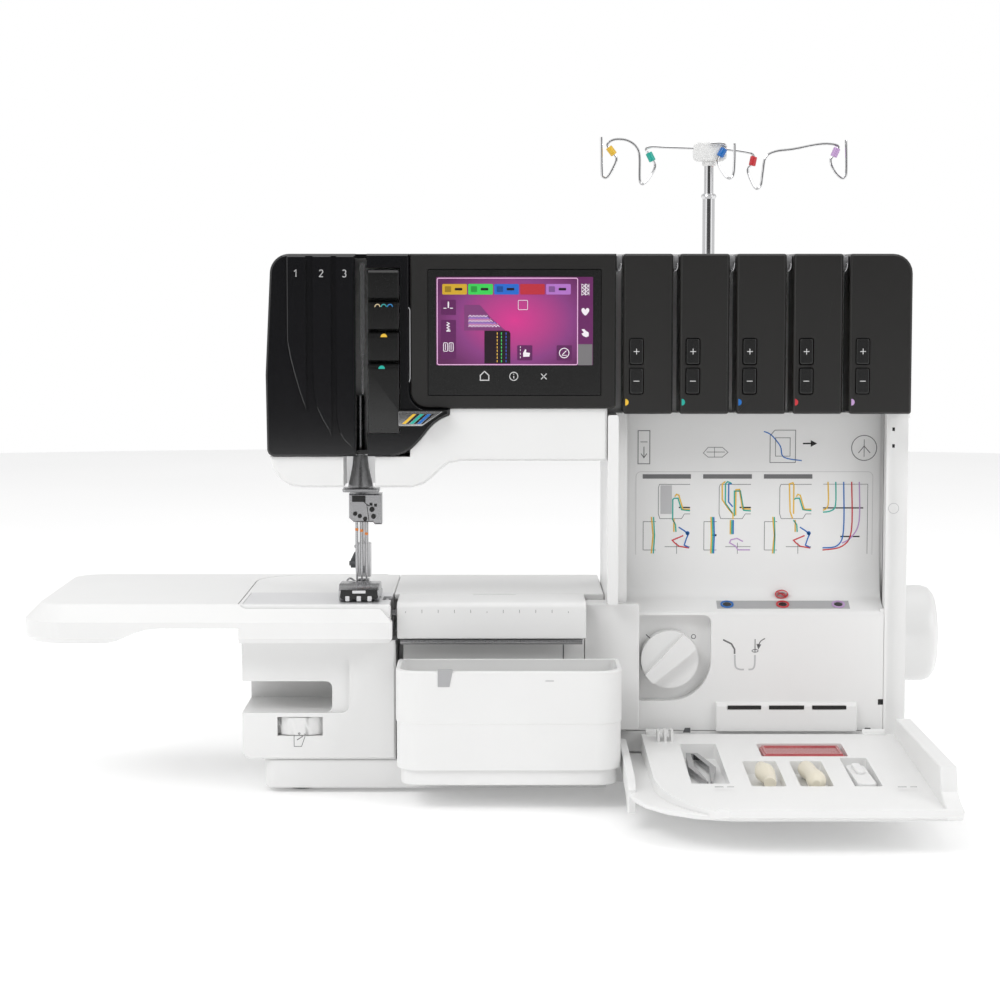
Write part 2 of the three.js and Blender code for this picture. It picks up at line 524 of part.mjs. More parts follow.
// Air-threading knob: a disc with a slanted grip bar across it.
const gripEnd = KNOB.radius + 3;
const grip = front(polygon([[-gripEnd, -3.6], [gripEnd, -6.4], [gripEnd, 6.4], [-gripEnd, 3.6]]),
  KNOB.front, KNOB.disc + 1).intersect(bar('y', KNOB.radius, 0, KNOB.back, 0, 0, 48))
  .rotate([0, -43, 0]).translate([KNOB.x, 0, KNOB.z]);
add('threading_knob', join(bar('y', KNOB.radius, KNOB.disc, KNOB.back, KNOB.x, KNOB.z, 48), grip), white);

// ---------------------------------------------------------------- fold-down tool door, lying open
const door = DOOR;
const SKIN = { bottom: 10.6, top: 13.4 };
const WALL_X = door.right - 9.5;
const skinOutline = new THREE.Shape();
skinOutline.moveTo(door.left, 14);
skinOutline.lineTo(door.left, -100);
skinOutline.bezierCurveTo(door.left, -132, 92, -168, 128, door.front + 4);
skinOutline.lineTo(door.right - 6, door.front + 4);
skinOutline.quadraticCurveTo(door.right, door.front + 4, door.right, door.front + 10);
skinOutline.lineTo(door.right, 14);
const plateOutline = new THREE.Shape();
plateOutline.moveTo(door.plateLeft, 20);
plateOutline.lineTo(door.plateLeft + 1, -100);
plateOutline.bezierCurveTo(door.plateLeft + 3, -130, 104, -168, 134, -180);
plateOutline.lineTo(WALL_X + 1, -180);
plateOutline.lineTo(WALL_X + 1, 20);
const innerProfile = polygon([
  [16, 25.4], [16, 20], [14, SKIN.bottom + 1.4], [-171, SKIN.bottom + 1.4], [door.front, 13.6],
  [door.front, 17.4], [-172, 18], [-170.5, 16.4], [4, 25.2]]);
const rightWall = polygon([
  [14, SKIN.bottom], [-170, SKIN.bottom], [door.front, 13.6], [door.front, 17.4], [-162, 20], [-153, 23.5],
  [-148, 37], [8, 36.4], [14, 30]]);
const leftWall = polygon([
  [14, 22.8], [-60, 22.3], [-98, 20], [-106, 15], [-107, 1.6], [-100, 0.4], [-70, 7.4], [10, 11]]);
let toolDoor = join(
  plan(skinOutline, SKIN.bottom, SKIN.top, 0.5),
  side(innerProfile, door.plateLeft, WALL_X + 1).intersect(plan(plateOutline, 0, 50)),
  side(rightWall, WALL_X, door.right, 0.6),
  side(leftWall, door.left, door.left + 4.6, 0.6));
for (const left of [91, 226]) {
  toolDoor = join(toolDoor, bar('x', 2.2, left, left + 14, door.hingeY, door.hingeZ, 16),
    box(left, left + 14, 12, 18, 22, 26));
}
const TOOL_POCKETS = [
  [110, 132, -110, -12, 15], [144, 164, -116, -56, 14.4],
  [172, 191, -116, -56, 14.4], [203, 219, -116, -48, 14.4]];
const BOX_POCKET = [157, 209, -44, -11, 18.2];
for (const [x0, x1, y0, y1, z] of [...TOOL_POCKETS, BOX_POCKET]) {
  toolDoor = cut(toolDoor, plan(roundRect(x0, y0, x1, y1, 1.5), z, 60));
}
add('tool_door', toolDoor, white);
add('knife_box', plan(roundRect(158.5, -42.5, 207.5, -12.5, 1.5), 18.6, 23, 0.6, 3), redPlastic);

// Two sprung blades joined at the far end, with their tips almost closed.
const tweezers = polygon([
  [120.6, -18], [113.4, -18], [111.6, -62], [119, -106], [120, -106], [115.6, -62], [116.4, -22],
  [118, -22], [124, -62], [121.4, -106], [122.4, -106], [128, -62]]);
add('tweezers', plan(tweezers, 16, 20), chrome);

// ---------------------------------------------------------------- needle bar and presser
const NEEDLE_XS = [-89.3, -86.3, -83.3];
const NEEDLE_Y = 27;
add('needle_bar', join(
  turned([[0, 179], [8, 179], [6.6, 185], [5.2, 192], [4.6, 198.6], [0, 198.6]], NEEDLE.x, NEEDLE.y, 16),
  bar('z', 3.2, 158, 236, NEEDLE.x, NEEDLE.y, 12),
  plan(roundRect(-98, 23, -75, 39, 2), 176, 178.4, 0.5, 3)), steel);

// Clamp block with its three needles hanging from a stepped lower face.
const clampFace = polygon([
  [-94, 160], [-91, 157.4], [-79, 157.4], [-78, 156], [-73.5, 156], [-73.5, 175], [-94, 175]]);
let needleClamp = cut(front(clampFace, 24, 37.5, 0.8), bar('z', 3.2 + GAP, 140, 180, NEEDLE.x, NEEDLE.y, 20));
for (const x of NEEDLE_XS) {
  needleClamp = join(needleClamp,
    bar('z', 0.95, 128, 159, x, NEEDLE_Y, 10),
    bar('z', 0.3, 117, 128.2, x, NEEDLE_Y, 10, 0.95));
}
add('needle_clamp', needleClamp, chrome);

add('presser_bar', join(
  bar('z', 3, 128, 236, PRESSER.x, PRESSER.y, 12),
  front(roundRect(-90.5, 121.5, -81, 143, 1), 38.2, 44, 0.6, 3),
  box(-89, -83, 43, 50, 128, 140)), chrome);

const footProfile = polygon([
  [-2, 113.6], [0.6, 110.9], [42, 110.9], [42, 114], [31, 114.6], [24, 120.6], [4, 121.4], [-2, 118]]);
let foot = join(side(footProfile, -99, -74, 0.5), front(roundRect(-89.5, 112, -82, 120.6, 1), 33, 41));
foot = cut(foot, box(-91.2, -81.6, 24.4, 32.4, 90, 125));
for (const x of [-94.5, -86.7, -78.8]) foot = cut(foot, box(x - 1.2, x + 1.2, -5, 7, 105, 114.6));
add('presser_foot', foot, chrome);

// ---------------------------------------------------------------- loopers and knife
const lowerLooper = polygon([
  [-44, 66], [-37, 66], [-37, 74], [-54, 98], [-57, 101.4],
  [-84, 99.6], [-86, 98.2], [-60, 96.6], [-58, 94]]);
add('lower_looper', front(lowerLooper, 38.4, 41.4), steel);
const upperLooper = polygon([
  [-34, 68], [-26, 68], [-26, 76], [-50, 99], [-61, 104.4], [-63.4, 103.6], [-52, 95.6], [-34, 75]]);
add('upper_looper', front(upperLooper, 20, 23), steel);
add('upper_knife', box(-71, -69.2, 12, 26, 90, 109.6), steel);

// ---------------------------------------------------------------- drive
add('main_shaft', join(
  bar('x', SHAFT.radius, -50, 262, SHAFT.y, SHAFT.z, 24),
  bar('x', PULLEY.main, PULLEY.left, PULLEY.right, SHAFT.y, SHAFT.z, 40)), steel);
add('motor', bar('x', MOTOR.radius, MOTOR.left, MOTOR.right, MOTOR.y, MOTOR.z, 32), castMetal);
add('motor_pulley', join(
  bar('x', PULLEY.motor, PULLEY.left, PULLEY.right, MOTOR.y, MOTOR.z, 24),
  bar('x', 3, MOTOR.right + GAP, PULLEY.left + 1, MOTOR.y, MOTOR.z, 16)), steel);

// The belt wraps both pulleys: two arcs joined by the outer tangents.
function beltLoop(extra) {
  const big = PULLEY.main + extra;
  const small = PULLEY.motor + extra;
  const dy = MOTOR.y - SHAFT.y;
  const dz = MOTOR.z - SHAFT.z;
  const along = Math.atan2(dz, dy);
  const spread = Math.acos((big - small) / Math.hypot(dy, dz));
  const loop = new THREE.Shape();
  loop.absarc(MOTOR.y, MOTOR.z, small, along - spread, along + spread, false);
  loop.absarc(SHAFT.y, SHAFT.z, big, along + spread, along - spread + 2 * Math.PI, false);
  return loop;
}
add('drive_belt', cut(
  side(beltLoop(GAP + PULLEY.belt), PULLEY.left + 1, PULLEY.right - 1, 0, 12),
  side(beltLoop(GAP), PULLEY.left - 1, PULLEY.right + 1, 0, 12)), rubber);

const wheelProfile = [
  [0, 0], [HANDWHEEL.radius - 2, 0], [HANDWHEEL.radius, 2], [HANDWHEEL.radius, 17],
  [HANDWHEEL.radius - 1.4, 21.4],
  [HANDWHEEL.radius - 5, 24.2], [HANDWHEEL.radius - 9, 24.8], [0, 24.8]];
const handwheel = turned(wheelProfile, 0, 0, 40)
  .rotate([0, 90, 0]).translate([HANDWHEEL.left, SHAFT.y, SHAFT.z]);
add('handwheel', cut(handwheel, bar('x', SHAFT.radius + GAP, 250, 262.5, SHAFT.y, SHAFT.z, 24)), white);

// Cast frame: one plate through the bed, the tower and the arm, with two bearing blocks for the shaft.
const framePlate = polygon([
  [-60, 24], [238, 24], [238, 300], [-128, 300], [-128, 240], [-100, 216], [84, 216], [84, 94], [-60, 94]]);
let frame = front(framePlate, FRAME.front, FRAME.back);
for (const x of [20, 100, 234]) {
  frame = join(frame, box(x - 6, x + 2, FRAME.front, SHAFT.y + 10, SHAFT.z - 10, SHAFT.z + 10));
}
frame = cut(frame, bar('x', SHAFT.radius + GAP, -60, 300, SHAFT.y, SHAFT.z, 24));
add('chassis_frame', frame, castMetal);

// ---------------------------------------------------------------- rear cover
let rear = join(
  front(armOutline(), SPLIT_Y, BODY_BACK, 1.4),
  box(TOWER.left - 5, TOWER.left + 20, SPLIT_Y + 1.4, BODY_BACK - 1.4, ARM.bottom + 1.4, TOP_Z - 1.4),
  front(roundRect(TOWER.left, TOWER.bottom, TOWER.right, TOP_Z, [4, 6, 12, 0]), SPLIT_Y, BODY_BACK, 1.4));
rear = cut(rear,
  box(HEAD.left + 5, TOWER.left + 6, SPLIT_Y - 5, BODY_BACK - 3, HEAD.bottom + 1, TOP_Z - 3.5),
  box(TOWER.left + 3, TOWER.right - 3, SPLIT_Y - 5, BODY_BACK - 3, TOWER.bottom + 3, TOP_Z - 3.5),
  bar('x', SHAFT.radius + 1, 60, 260, SHAFT.y, SHAFT.z, 24));
add('rear_cover', rear, white);

// ---------------------------------------------------------------- spool stand and thread mast
const PINS = [[90, 178], [118, 142], [170, 142], [196, 178], [226, 142]];
let stand = plan(roundRect(STAND.left, STAND.front, STAND.right, STAND.back, [4, 4, 20, 20]),
  STAND.bottom, STAND.top, 1.2);
for (const [x, y] of PINS) {
  stand = join(stand, turned([
    [0, STAND.top - 1], [11, STAND.top - 1], [11, STAND.top + 3], [STAND.pin, STAND.top + 5],
    [STAND.pin - 1, STAND.top + STAND.pinHeight - 2], [0, STAND.top + STAND.pinHeight]], x, y, 10));
}
add('spool_stand', stand, white);
add('mast_lower_tube', cut(
  bar('z', MAST.lowerRadius, STAND.top + GAP, MAST.lowerTop, MAST.x, MAST.y, 24),
  bar('z', MAST.upperRadius + 0.3, STAND.top + 8, MAST.lowerTop + 5, MAST.x, MAST.y, 24)), chrome);
add('mast_upper_tube', bar('z', MAST.upperRadius, 160, MAST.upperTop, MAST.x, MAST.y, 20), chrome);

// Rail: a small hub with three bent wires that end in open hooks, each with a coloured sleeve.
const WIRES = [
  { y: 0, points: [[130, 395], [112, 395.6], [100.6, 396], [97.4, 394.6], [101, 389], [104, 383], [99.5, 375],
    [95.4, 371], [93.2, 374], [93.6, 394.6], [88, 398.5], [82, 401], [76, 401], [71.4, 397], [74.4, 393.4],
    [78.2, 389], [75.4, 382], [72, 375.6], [69, 375.4], [68, 379], [67.6, 403.6]] },
  { y: 0, points: [[150, 394.4], [160, 393.2], [169.6, 391.4], [169, 385], [165.2, 381], [167.8, 374],
    [171, 367.8], [174.4, 369.2], [175.4, 378], [177, 390], [196, 394.6], [215, 398], [226.6, 397.4],
    [224, 392.4], [220.4, 387.4], [223.6, 380], [228, 374.6], [231.6, 376.6], [231.4, 390], [231, 401.5]] },
  { y: -7, points: [[140, 398], [148, 398.4], [150.8, 396.6], [147.7, 392], [144, 386.6], [148.4, 379],
    [152.4, 374], [155.4, 376], [156, 387], [156, 399]] },
];
const SLEEVES = [[74, 394.4, 0], [101, 389, 0], [147.7, 392, -7], [169, 385.6, 0], [224, 392.4, 0]];
const SLEEVE = { radius: 2.3, half: 3 };
let rail = plan(roundRect(HUB.left, MAST.y - HUB.depth / 2, HUB.right, MAST.y + HUB.depth / 2, 5),
  HUB.bottom, HUB.top, 1);
for (const { y, points } of WIRES) {
  const path = points.map(([x, z]) => [x, MAST.y + y, z]);
  rail = join(rail, wire(path, WIRE_RADIUS, Math.round(points.length * 1.5)));
}
rail = join(rail, box(138, 142, MAST.y - 8, MAST.y - 4, 396.4, 398.6));
for (const [x, z, y] of SLEEVES) {
  rail = join(rail, bar('y', SLEEVE.radius, MAST.y + y - SLEEVE.half, MAST.y + y + SLEEVE.half, x, z, 8));
}
add('thread_guide_rail', rail, chrome);

export default machine;
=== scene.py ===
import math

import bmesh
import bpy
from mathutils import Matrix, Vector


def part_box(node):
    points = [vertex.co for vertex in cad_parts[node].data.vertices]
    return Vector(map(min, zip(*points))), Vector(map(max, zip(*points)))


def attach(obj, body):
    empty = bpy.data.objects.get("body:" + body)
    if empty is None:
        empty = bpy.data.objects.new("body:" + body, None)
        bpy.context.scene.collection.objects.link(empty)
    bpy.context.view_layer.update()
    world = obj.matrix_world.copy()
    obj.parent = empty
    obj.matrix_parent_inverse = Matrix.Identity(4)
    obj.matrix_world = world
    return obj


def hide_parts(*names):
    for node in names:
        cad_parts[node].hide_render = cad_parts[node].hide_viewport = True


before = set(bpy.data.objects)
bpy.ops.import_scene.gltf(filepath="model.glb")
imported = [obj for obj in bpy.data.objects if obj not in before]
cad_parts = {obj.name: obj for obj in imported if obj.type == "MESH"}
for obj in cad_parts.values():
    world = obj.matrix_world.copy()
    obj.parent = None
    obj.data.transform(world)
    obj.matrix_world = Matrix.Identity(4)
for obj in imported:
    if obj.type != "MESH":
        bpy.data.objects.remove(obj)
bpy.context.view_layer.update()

# Looks for the overlock machine: finishes and rounded edges for the CAD pieces, the prints, the screen,
# the small hardware, the tools in the door, the studio and the camera.
# Details are placed in the machine's own millimetres: X to the operator's right, Y away from the operator,
# Z up, with zero under the front face of the head and a little above the floor. place() turns them into
# the frame.

# ---------------------------------------------------------------- machine coordinates
MM = 0.001
HEAD_LEFT = -143.0  # machine X of the head cover's left side
GLASS_FRONT = 0.2  # machine Y of the screen glass
FLOOR_BELOW = 9.0  # how far the floor lies below machine Z zero
ZERO = Vector((
    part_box("head_cover")[0].x - HEAD_LEFT * MM,
    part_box("touch_screen")[0].y - GLASS_FRONT * MM,
    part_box("foot_front_left")[0].z + FLOOR_BELOW * MM))


def place(x, y, z):
    return ZERO + Vector((x, y, z)) * MM


def span(node):
    """Lowest and highest corner of a CAD node in machine millimetres."""
    low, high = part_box(node)
    return (low - ZERO) / MM, (high - ZERO) / MM


# ---------------------------------------------------------------- materials
def nodes_of(name):
    material = bpy.data.materials.new(name)
    material.use_nodes = True
    tree = material.node_tree
    return material, tree, tree.nodes["Principled BSDF"]


def noise(tree, scale, detail=3.0, stretch=None):
    """Noise in object space; stretch draws the grain out along an axis."""
    coordinates = tree.nodes.new("ShaderNodeTexCoord")
    texture = tree.nodes.new("ShaderNodeTexNoise")
    texture.inputs["Scale"].default_value = scale
    texture.inputs["Detail"].default_value = detail
    source = coordinates.outputs["Object"]
    if stretch:
        mapping = tree.nodes.new("ShaderNodeMapping")
        mapping.inputs["Scale"].default_value = stretch
        tree.links.new(source, mapping.inputs["Vector"])
        source = mapping.outputs["Vector"]
    tree.links.new(source, texture.inputs["Vector"])
    return texture.outputs["Fac"]


def ramp(tree, value, stops):
    node = tree.nodes.new("ShaderNodeValToRGB")
    elements = node.color_ramp.elements
    while len(elements) < len(stops):
        elements.new(0.5)
    for element, (position, colour) in zip(elements, stops):
        element.position = position
        element.color = (*colour, 1.0)
    tree.links.new(value, node.inputs["Fac"])
    return node.outputs["Color"]


def span_value(tree, value, low, high):
    node = tree.nodes.new("ShaderNodeMapRange")
    node.inputs["To Min"].default_value = low
    node.inputs["To Max"].default_value = high
    tree.links.new(value, node.inputs["Value"])
    return node.outputs["Result"]


def bump(tree, shader, height, strength, distance=0.0002):
    node = tree.nodes.new("ShaderNodeBump")
    node.inputs["Strength"].default_value = strength
    node.inputs["Distance"].default_value = distance
    tree.links.new(height, node.inputs["Height"])
    tree.links.new(node.outputs["Normal"], shader.inputs["Normal"])


def tinted(colour, factor):
    return tuple(min(1.0, channel * factor) for channel in colour)


def moulded(name, colour, roughness, variation=0.02, grain=900.0, grain_strength=0.05, coat=0.0,
    metallic=0.0,
            stretch=None, glow=0.0):
    """A finish with slow colour variation, uneven gloss and a fine surface grain."""
    material, tree, shader = nodes_of(name)
    slow = noise(tree, 14.0, 2.0)
    tree.links.new(
        ramp(tree, slow, [(0.3, tinted(colour, 1 - variation)), (0.7, tinted(colour, 1 + variation))]),
        shader.inputs["Base Color"])
    fine = noise(tree, grain, 2.0, stretch)
    tree.links.new(span_value(tree, fine, roughness * 0.85, roughness * 1.15), shader.inputs["Roughness"])
    bump(tree, shader, fine, grain_strength)
    shader.inputs["Metallic"].default_value = metallic
    shader.inputs["Coat Weight"].default_value = coat
    shader.inputs["Coat Roughness"].default_value = 0.06
    if glow:
        shader.inputs["Emission Color"].default_value = (*colour, 1.0)
        shader.inputs["Emission Strength"].default_value = glow
    return material


WHITE = moulded("white_gloss_plastic", (0.84, 0.84, 0.835), 0.30, 0.012, 700.0, 0.03)
WHITE_SATIN = moulded("white_satin_plastic", (0.83, 0.83, 0.825), 0.42, 0.015, 1200.0, 0.08)
PIANO = moulded("piano_black", (0.006, 0.006, 0.007), 0.10, 0.15, 300.0, 0.004, coat=0.4)
CHARCOAL = moulded("charcoal_satin", (0.0125, 0.0118, 0.0112), 0.34, 0.08, 2200.0, 0.12)
DARK = moulded("dark_moulding", (0.008, 0.008, 0.008), 0.26, 0.10, 1500.0, 0.05)
CHROME = moulded("chrome_plate", (0.72, 0.72, 0.73), 0.10, 0.04, 500.0, 0.01, metallic=1.0)
NICKEL = moulded("nickel_plate", (0.44, 0.44, 0.45), 0.24, 0.05, 600.0, 0.02, metallic=1.0)
PLATE_STEEL = moulded("plate_steel", (0.80, 0.80, 0.81), 0.36, 0.03, 500.0, 0.05, metallic=0.6,
    stretch=(14.0, 1.0, 1.0))
LAMP_WHITE = moulded("lamp_white", (0.85, 0.85, 0.85), 0.5, 0.01, 900.0, 0.03, glow=0.45)
ORANGE_INK = moulded("orange_mark", (0.72, 0.22, 0.04), 0.45, 0.05, 1500.0, 0.05)
STEEL = moulded("brushed_steel", (0.50, 0.50, 0.51), 0.32, 0.06, 500.0, 0.10, metallic=1.0,
    stretch=(1.0, 14.0, 1.0))
SHAFT_STEEL = moulded("ground_steel", (0.44, 0.44, 0.45), 0.28, 0.08, 900.0, 0.05, metallic=1.0,
    stretch=(1.0, 1.0, 8.0))
CAST = moulded("cast_aluminium", (0.45, 0.455, 0.46), 0.55, 0.10, 500.0, 0.5, metallic=0.9)
RUBBER = moulded("black_rubber", (0.018, 0.018, 0.018), 0.8, 0.10, 1500.0, 0.4)
GREY = moulded("grey_plastic", (0.10, 0.105, 0.11), 0.45, 0.05, 1300.0, 0.2)
LIGHT_GREY = moulded("light_grey_plastic", (0.42, 0.42, 0.43), 0.4, 0.04, 1300.0, 0.1)
CREAM = moulded("cream_plastic", (0.78, 0.73, 0.60), 0.35, 0.03, 900.0, 0.06)
PRINT = moulded("grey_print", (0.16, 0.16, 0.165), 0.5, 0.06, 2500.0, 0.1)
PALE_PRINT = moulded("pale_print", (0.52, 0.52, 0.53), 0.5, 0.05, 2500.0, 0.1)
MARK = moulded("light_marks", (0.62, 0.62, 0.62), 0.4, 0.03, 2500.0, 0.05)

THREADS = {
    "yellow": (0.80, 0.50, 0.045), "teal": (0.02, 0.42, 0.34), "blue": (0.012, 0.15, 0.50),
    "red": (0.58, 0.035, 0.045), "lilac": (0.52, 0.33, 0.60)}
THREAD_INK = {key: moulded(f"{key}_ink", colour, 0.5, 0.05, 2500.0, 0.05) for key,
    colour in THREADS.items()}
SLEEVES = {key: moulded(f"{key}_sleeve", colour, 0.32, 0.05, 1500.0, 0.08) for key,
    colour in THREADS.items()}


def translucent_red():
    """Clear red plastic of the small box in the tool door."""
    material, tree, shader = nodes_of("clear_red_plastic")
    slow = noise(tree, 60.0)
    tree.links.new(ramp(tree, slow, [(0.3, (0.62, 0.09, 0.11)), (0.7, (0.72, 0.16, 0.17))]),
        shader.inputs["Base Color"])
    bump(tree, shader, noise(tree, 900.0), 0.05)
    shader.inputs["Roughness"].default_value = 0.12
    shader.inputs["Alpha"].default_value = 0.62
    shader.inputs["Coat Weight"].default_value = 0.5
    return material


RED_CLEAR = translucent_red()

# ---------------------------------------------------------------- CAD nodes: finish and rounded edges
SMOOTH_ANGLE = math.radians(32)


def refine(node, material, width, segments=3):
    """Gives a CAD node its finish and truly rounded edges; its own mesh stays as packed."""
    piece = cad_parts[node]
    mesh = piece.data
    mesh.materials.clear()
    mesh.materials.append(material)
    for name in ("custom_normal", "sharp_face", "sharp_edge"):
        if name in mesh.attributes:
            mesh.attributes.remove(mesh.attributes[name])
    mesh.polygons.foreach_set("material_index", [0] * len(mesh.polygons))
    mesh.polygons.foreach_set("use_smooth", [True] * len(mesh.polygons))
    weld = piece.modifiers.new("weld", "WELD")
    weld.merge_threshold = 0.00002
    if width > 0:
        flat = piece.modifiers.new("planar", "DECIMATE")
        flat.decimate_type = "DISSOLVE"
        flat.angle_limit = math.radians(0.6)
        edge = piece.modifiers.new("edges", "BEVEL")
        edge.width = width * MM
        edge.segments = segments
        edge.limit_method = "ANGLE"
        edge.angle_limit = SMOOTH_ANGLE
        edge.use_clamp_overlap = True
    tidy_normals(piece)
    return piece


def tidy_normals(piece):
    weighted = piece.modifiers.new("normals", "WEIGHTED_NORMAL")
    weighted.mode = "FACE_AREA"
    weighted.weight = 60
    weighted.keep_sharp = False


FINISHES = [
    (WHITE, 0.9, ["base_tray", "free_arm_housing", "slide_on_table", "bed_cover", "looper_cover",
    "arm_cover",
                  "tower_housing", "rear_cover", "bay_panel", "spool_stand", "handwheel",
                  "threading_knob"]),
    (WHITE_SATIN, 0.7, ["waste_bin", "tool_door"]),
    (WHITE_SATIN, 0, ["thumbwheel"]),
    (PIANO, 0.5, ["head_cover"]),
    (DARK, 0.5, ["thread_guide_block"] + [f"{kind}_key_{i}" for kind in ("plus", "minus") for i in range(1,
    6)]),
    (CHARCOAL, 0.5, ["display_bezel"] + [f"tension_module_{i}" for i in range(1, 6)]),
    (CHROME, 0.3, ["take_up_lever", "mast_lower_tube", "mast_upper_tube", "thread_guide_rail"]),
    (NICKEL, 0.3, ["needle_clamp", "tweezers", "presser_foot"]),
    (PLATE_STEEL, 0.3, ["presser_bar"]),
    (PLATE_STEEL, 0.25, ["stitch_plate"]),
    (STEEL, 0.25, ["feed_dog"]),
    (SHAFT_STEEL, 0.25, ["needle_bar", "cover_hinge_rod", "main_shaft", "motor_pulley", "lower_looper",
                         "upper_looper", "upper_knife"]),
    (CAST, 0.6, ["chassis_frame", "motor"]),
    (RUBBER, 0.5, ["foot_front_left", "foot_front_right", "foot_rear_left", "foot_rear_right",
    "drive_belt"]),
    (GREY, 0.4, ["power_switch"]),
    (RED_CLEAR, 0.5, ["knife_box"]),
    (DARK, 0.3, ["touch_screen"]),
]
for material, width, names in FINISHES:
    for name in names:
        refine(name, material, width)


# ---------------------------------------------------------------- mesh building
def facing(y):
    """Drawing plane on a front face: across is X, up is Z, and depth comes towards the operator."""
    return lambda u, v, d: place(u, y - d, v)


def lying(z):
    return lambda u, v, d: place(u, v, z + d)


def facing_right(x):
    return lambda u, v, d: place(x + d, u, v)


def piece(name, body, slot, material, build, round_edges=0.0):
    """Makes one closed piece from what build() draws, and lets it ride on a CAD body."""
    work = bmesh.new()
    build(work)
    bmesh.ops.recalc_face_normals(work, faces=work.faces)
    mesh = bpy.data.meshes.new(name)
    work.to_mesh(mesh)
    work.free()
    mesh.materials.append(material)
    mesh.polygons.foreach_set("use_smooth", [True] * len(mesh.polygons))
    made = bpy.data.objects.new(name, mesh)
    bpy.context.scene.collection.objects.link(made)
    edge = made.modifiers.new("edges", "BEVEL")
    edge.width = max(round_edges, 0.02) * MM
    edge.segments = 2
    edge.limit_method = "ANGLE"
    edge.angle_limit = SMOOTH_ANGLE
    tidy_normals(made)
    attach(made, body)
    return made


def slab(work, outline, at, low, high):
    lower = [work.verts.new(at(u, v, low)) for u, v in outline]
    upper = [work.verts.new(at(u, v, high)) for u, v in outline]
    work.faces.new(lower)
    work.faces.new(upper)
    count = len(outline)
    for i in range(count):
        j = (i + 1) % count
        work.faces.new((lower[i], lower[j], upper[j], upper[i]))


def ribbon(work, path, width, at, low, high, closed=False):
    """A flat line of even width along a path, with mitred corners."""
    points = [Vector((u, v)) for u, v in path]
    count = len(points)
    rings = []
    for i, point in enumerate(points):
        before = points[i - 1] if i or closed else point
        after = points[(i + 1) % count] if i < count - 1 or closed else point
        into = (point - before).normalized() if point != before else (after - point).normalized()
        out = (after - point).normalized() if after != point else into
        middle = into + out
        middle = middle.normalized() if middle.length > 0.01 else into
        reach = min(width / 2 / max(middle.dot(into), 0.45), width)
        normal = Vector((-middle.y, middle.x)) * reach
        left, right = point + normal, point - normal
        rings.append([work.verts.new(at(p.x, p.y, d)) for p, d in (
            (left, low), (left, high), (right, high), (right, low))])
    bridge(work, rings, closed)


def bridge(work, rings, closed):
    """Joins rings of corners into a closed skin."""
    sides = len(rings[0])
    for i in range(len(rings) - (0 if closed else 1)):
        a, b = rings[i], rings[(i + 1) % len(rings)]
        for k in range(sides):
            m = (k + 1) % sides
            work.faces.new((a[k], a[m], b[m], b[k]))
    if not closed:
        work.faces.new(rings[0])
        work.faces.new(rings[-1])


def tube(work, points, radius, sides=12, closed=False):
    """A round bar along 3-D points in machine millimetres; radius may be one number or one per point."""
    path = [Vector(p) for p in points]
    radii = radius if isinstance(radius, list) else [radius] * len(path)
    count = len(path)
    up = None
    rings = []
    for i, point in enumerate(path):
        before = path[i - 1] if i or closed else point
        after = path[(i + 1) % count] if i < count - 1 or closed else point
        along = (after - before).normalized()
        if up is None:
            up = along.orthogonal().normalized()
        up = (up - along * up.dot(along)).normalized()
        across = along.cross(up)
        rings.append([work.verts.new(place(*(point + (up * math.cos(a) + across * math.sin(a)) * radii[i])))
                      for a in (2 * math.pi * k / sides for k in range(sides))])
    bridge(work, rings, closed)


def smooth(points, steps=6, closed=False):
    """Points along a Catmull-Rom curve through the given ones."""
    path = [Vector(p) for p in points]
    count = len(path)
    result = []
    for i in range(count if closed else count - 1):
        if closed:
            p0, p1, p2, p3 = (path[(i + k) % count] for k in (-1, 0, 1, 2))
        else:
            p0, p1, p2, p3 = (path[min(max(i + k, 0), count - 1)] for k in (-1, 0, 1, 2))
        for step in range(steps):
            t = step / steps
            result.append(0.5 * ((2 * p1) + (p2 - p0) * t + (2 * p0 - 5 * p1 + 4 * p2 - p3) * t ** 2
                                 + (3 * p1 - p0 - 3 * p2 + p3) * t ** 3))
    if not closed:
        result.append(path[-1])
    return result


def arc(cx, cy, radius, start, end, steps=12, squeeze=1.0):
    return [(cx + radius * math.cos(math.radians(start + (end - start) * i / steps)),
             cy + radius * squeeze * math.sin(math.radians(start + (end - start) * i / steps)))
            for i in range(steps + 1)]


def circle(cx, cy, radius, steps=24, squeeze=1.0):
    return arc(cx, cy, radius, 0, 360 * (steps - 1) / steps, steps - 1, squeeze)


def rounded(x0, y0, x1, y1, radius, steps=4):
    return (arc(x1 - radius, y0 + radius, radius, -90, 0, steps) + arc(x1 - radius, y1 - radius, radius, 0,
        90, steps)
            + arc(x0 + radius, y1 - radius, radius, 90, 180, steps) + arc(x0 + radius, y0 + radius, radius,
            180, 270, steps))


def disc(work, centre, axis, radius, low, high, sides=24, top=None):
    """A round boss along X, Y or Z; top is the radius at its far end."""
    ends = {"x": (1, 0, 0), "y": (0, 1, 0), "z": (0, 0, 1)}[axis]
    direction, centre = Vector(ends), Vector(centre)
    tube(work, [centre + direction * low, centre + direction * high],
        [radius, radius if top is None else top], sides)


def prints(name, slot, material, at, shapes, body="machine_body", low=-0.05, high=0.12):
    """A flat mark on a surface, mostly print and in one place a painted highlight: filled outlines, or lines
    given as (path, width) or (path, width, True) when closed.
    """
    def build(work):
        for shape in shapes:
            if isinstance(shape, tuple):
                ribbon(work, shape[0], shape[1], at, low, high, len(shape) > 2)
            else:
                slab(work, shape, at, low, high)
    return piece(name, body, slot, material, build)


def shifted(path, du, dv):
    return [(u + du, v + dv) for u, v in path]


def moved(shapes, du, dv):
    return [(shifted(s[0], du, dv), *s[1:]) if isinstance(s, tuple) else shifted(s, du, dv) for s in shapes]


BODY = "machine_body"

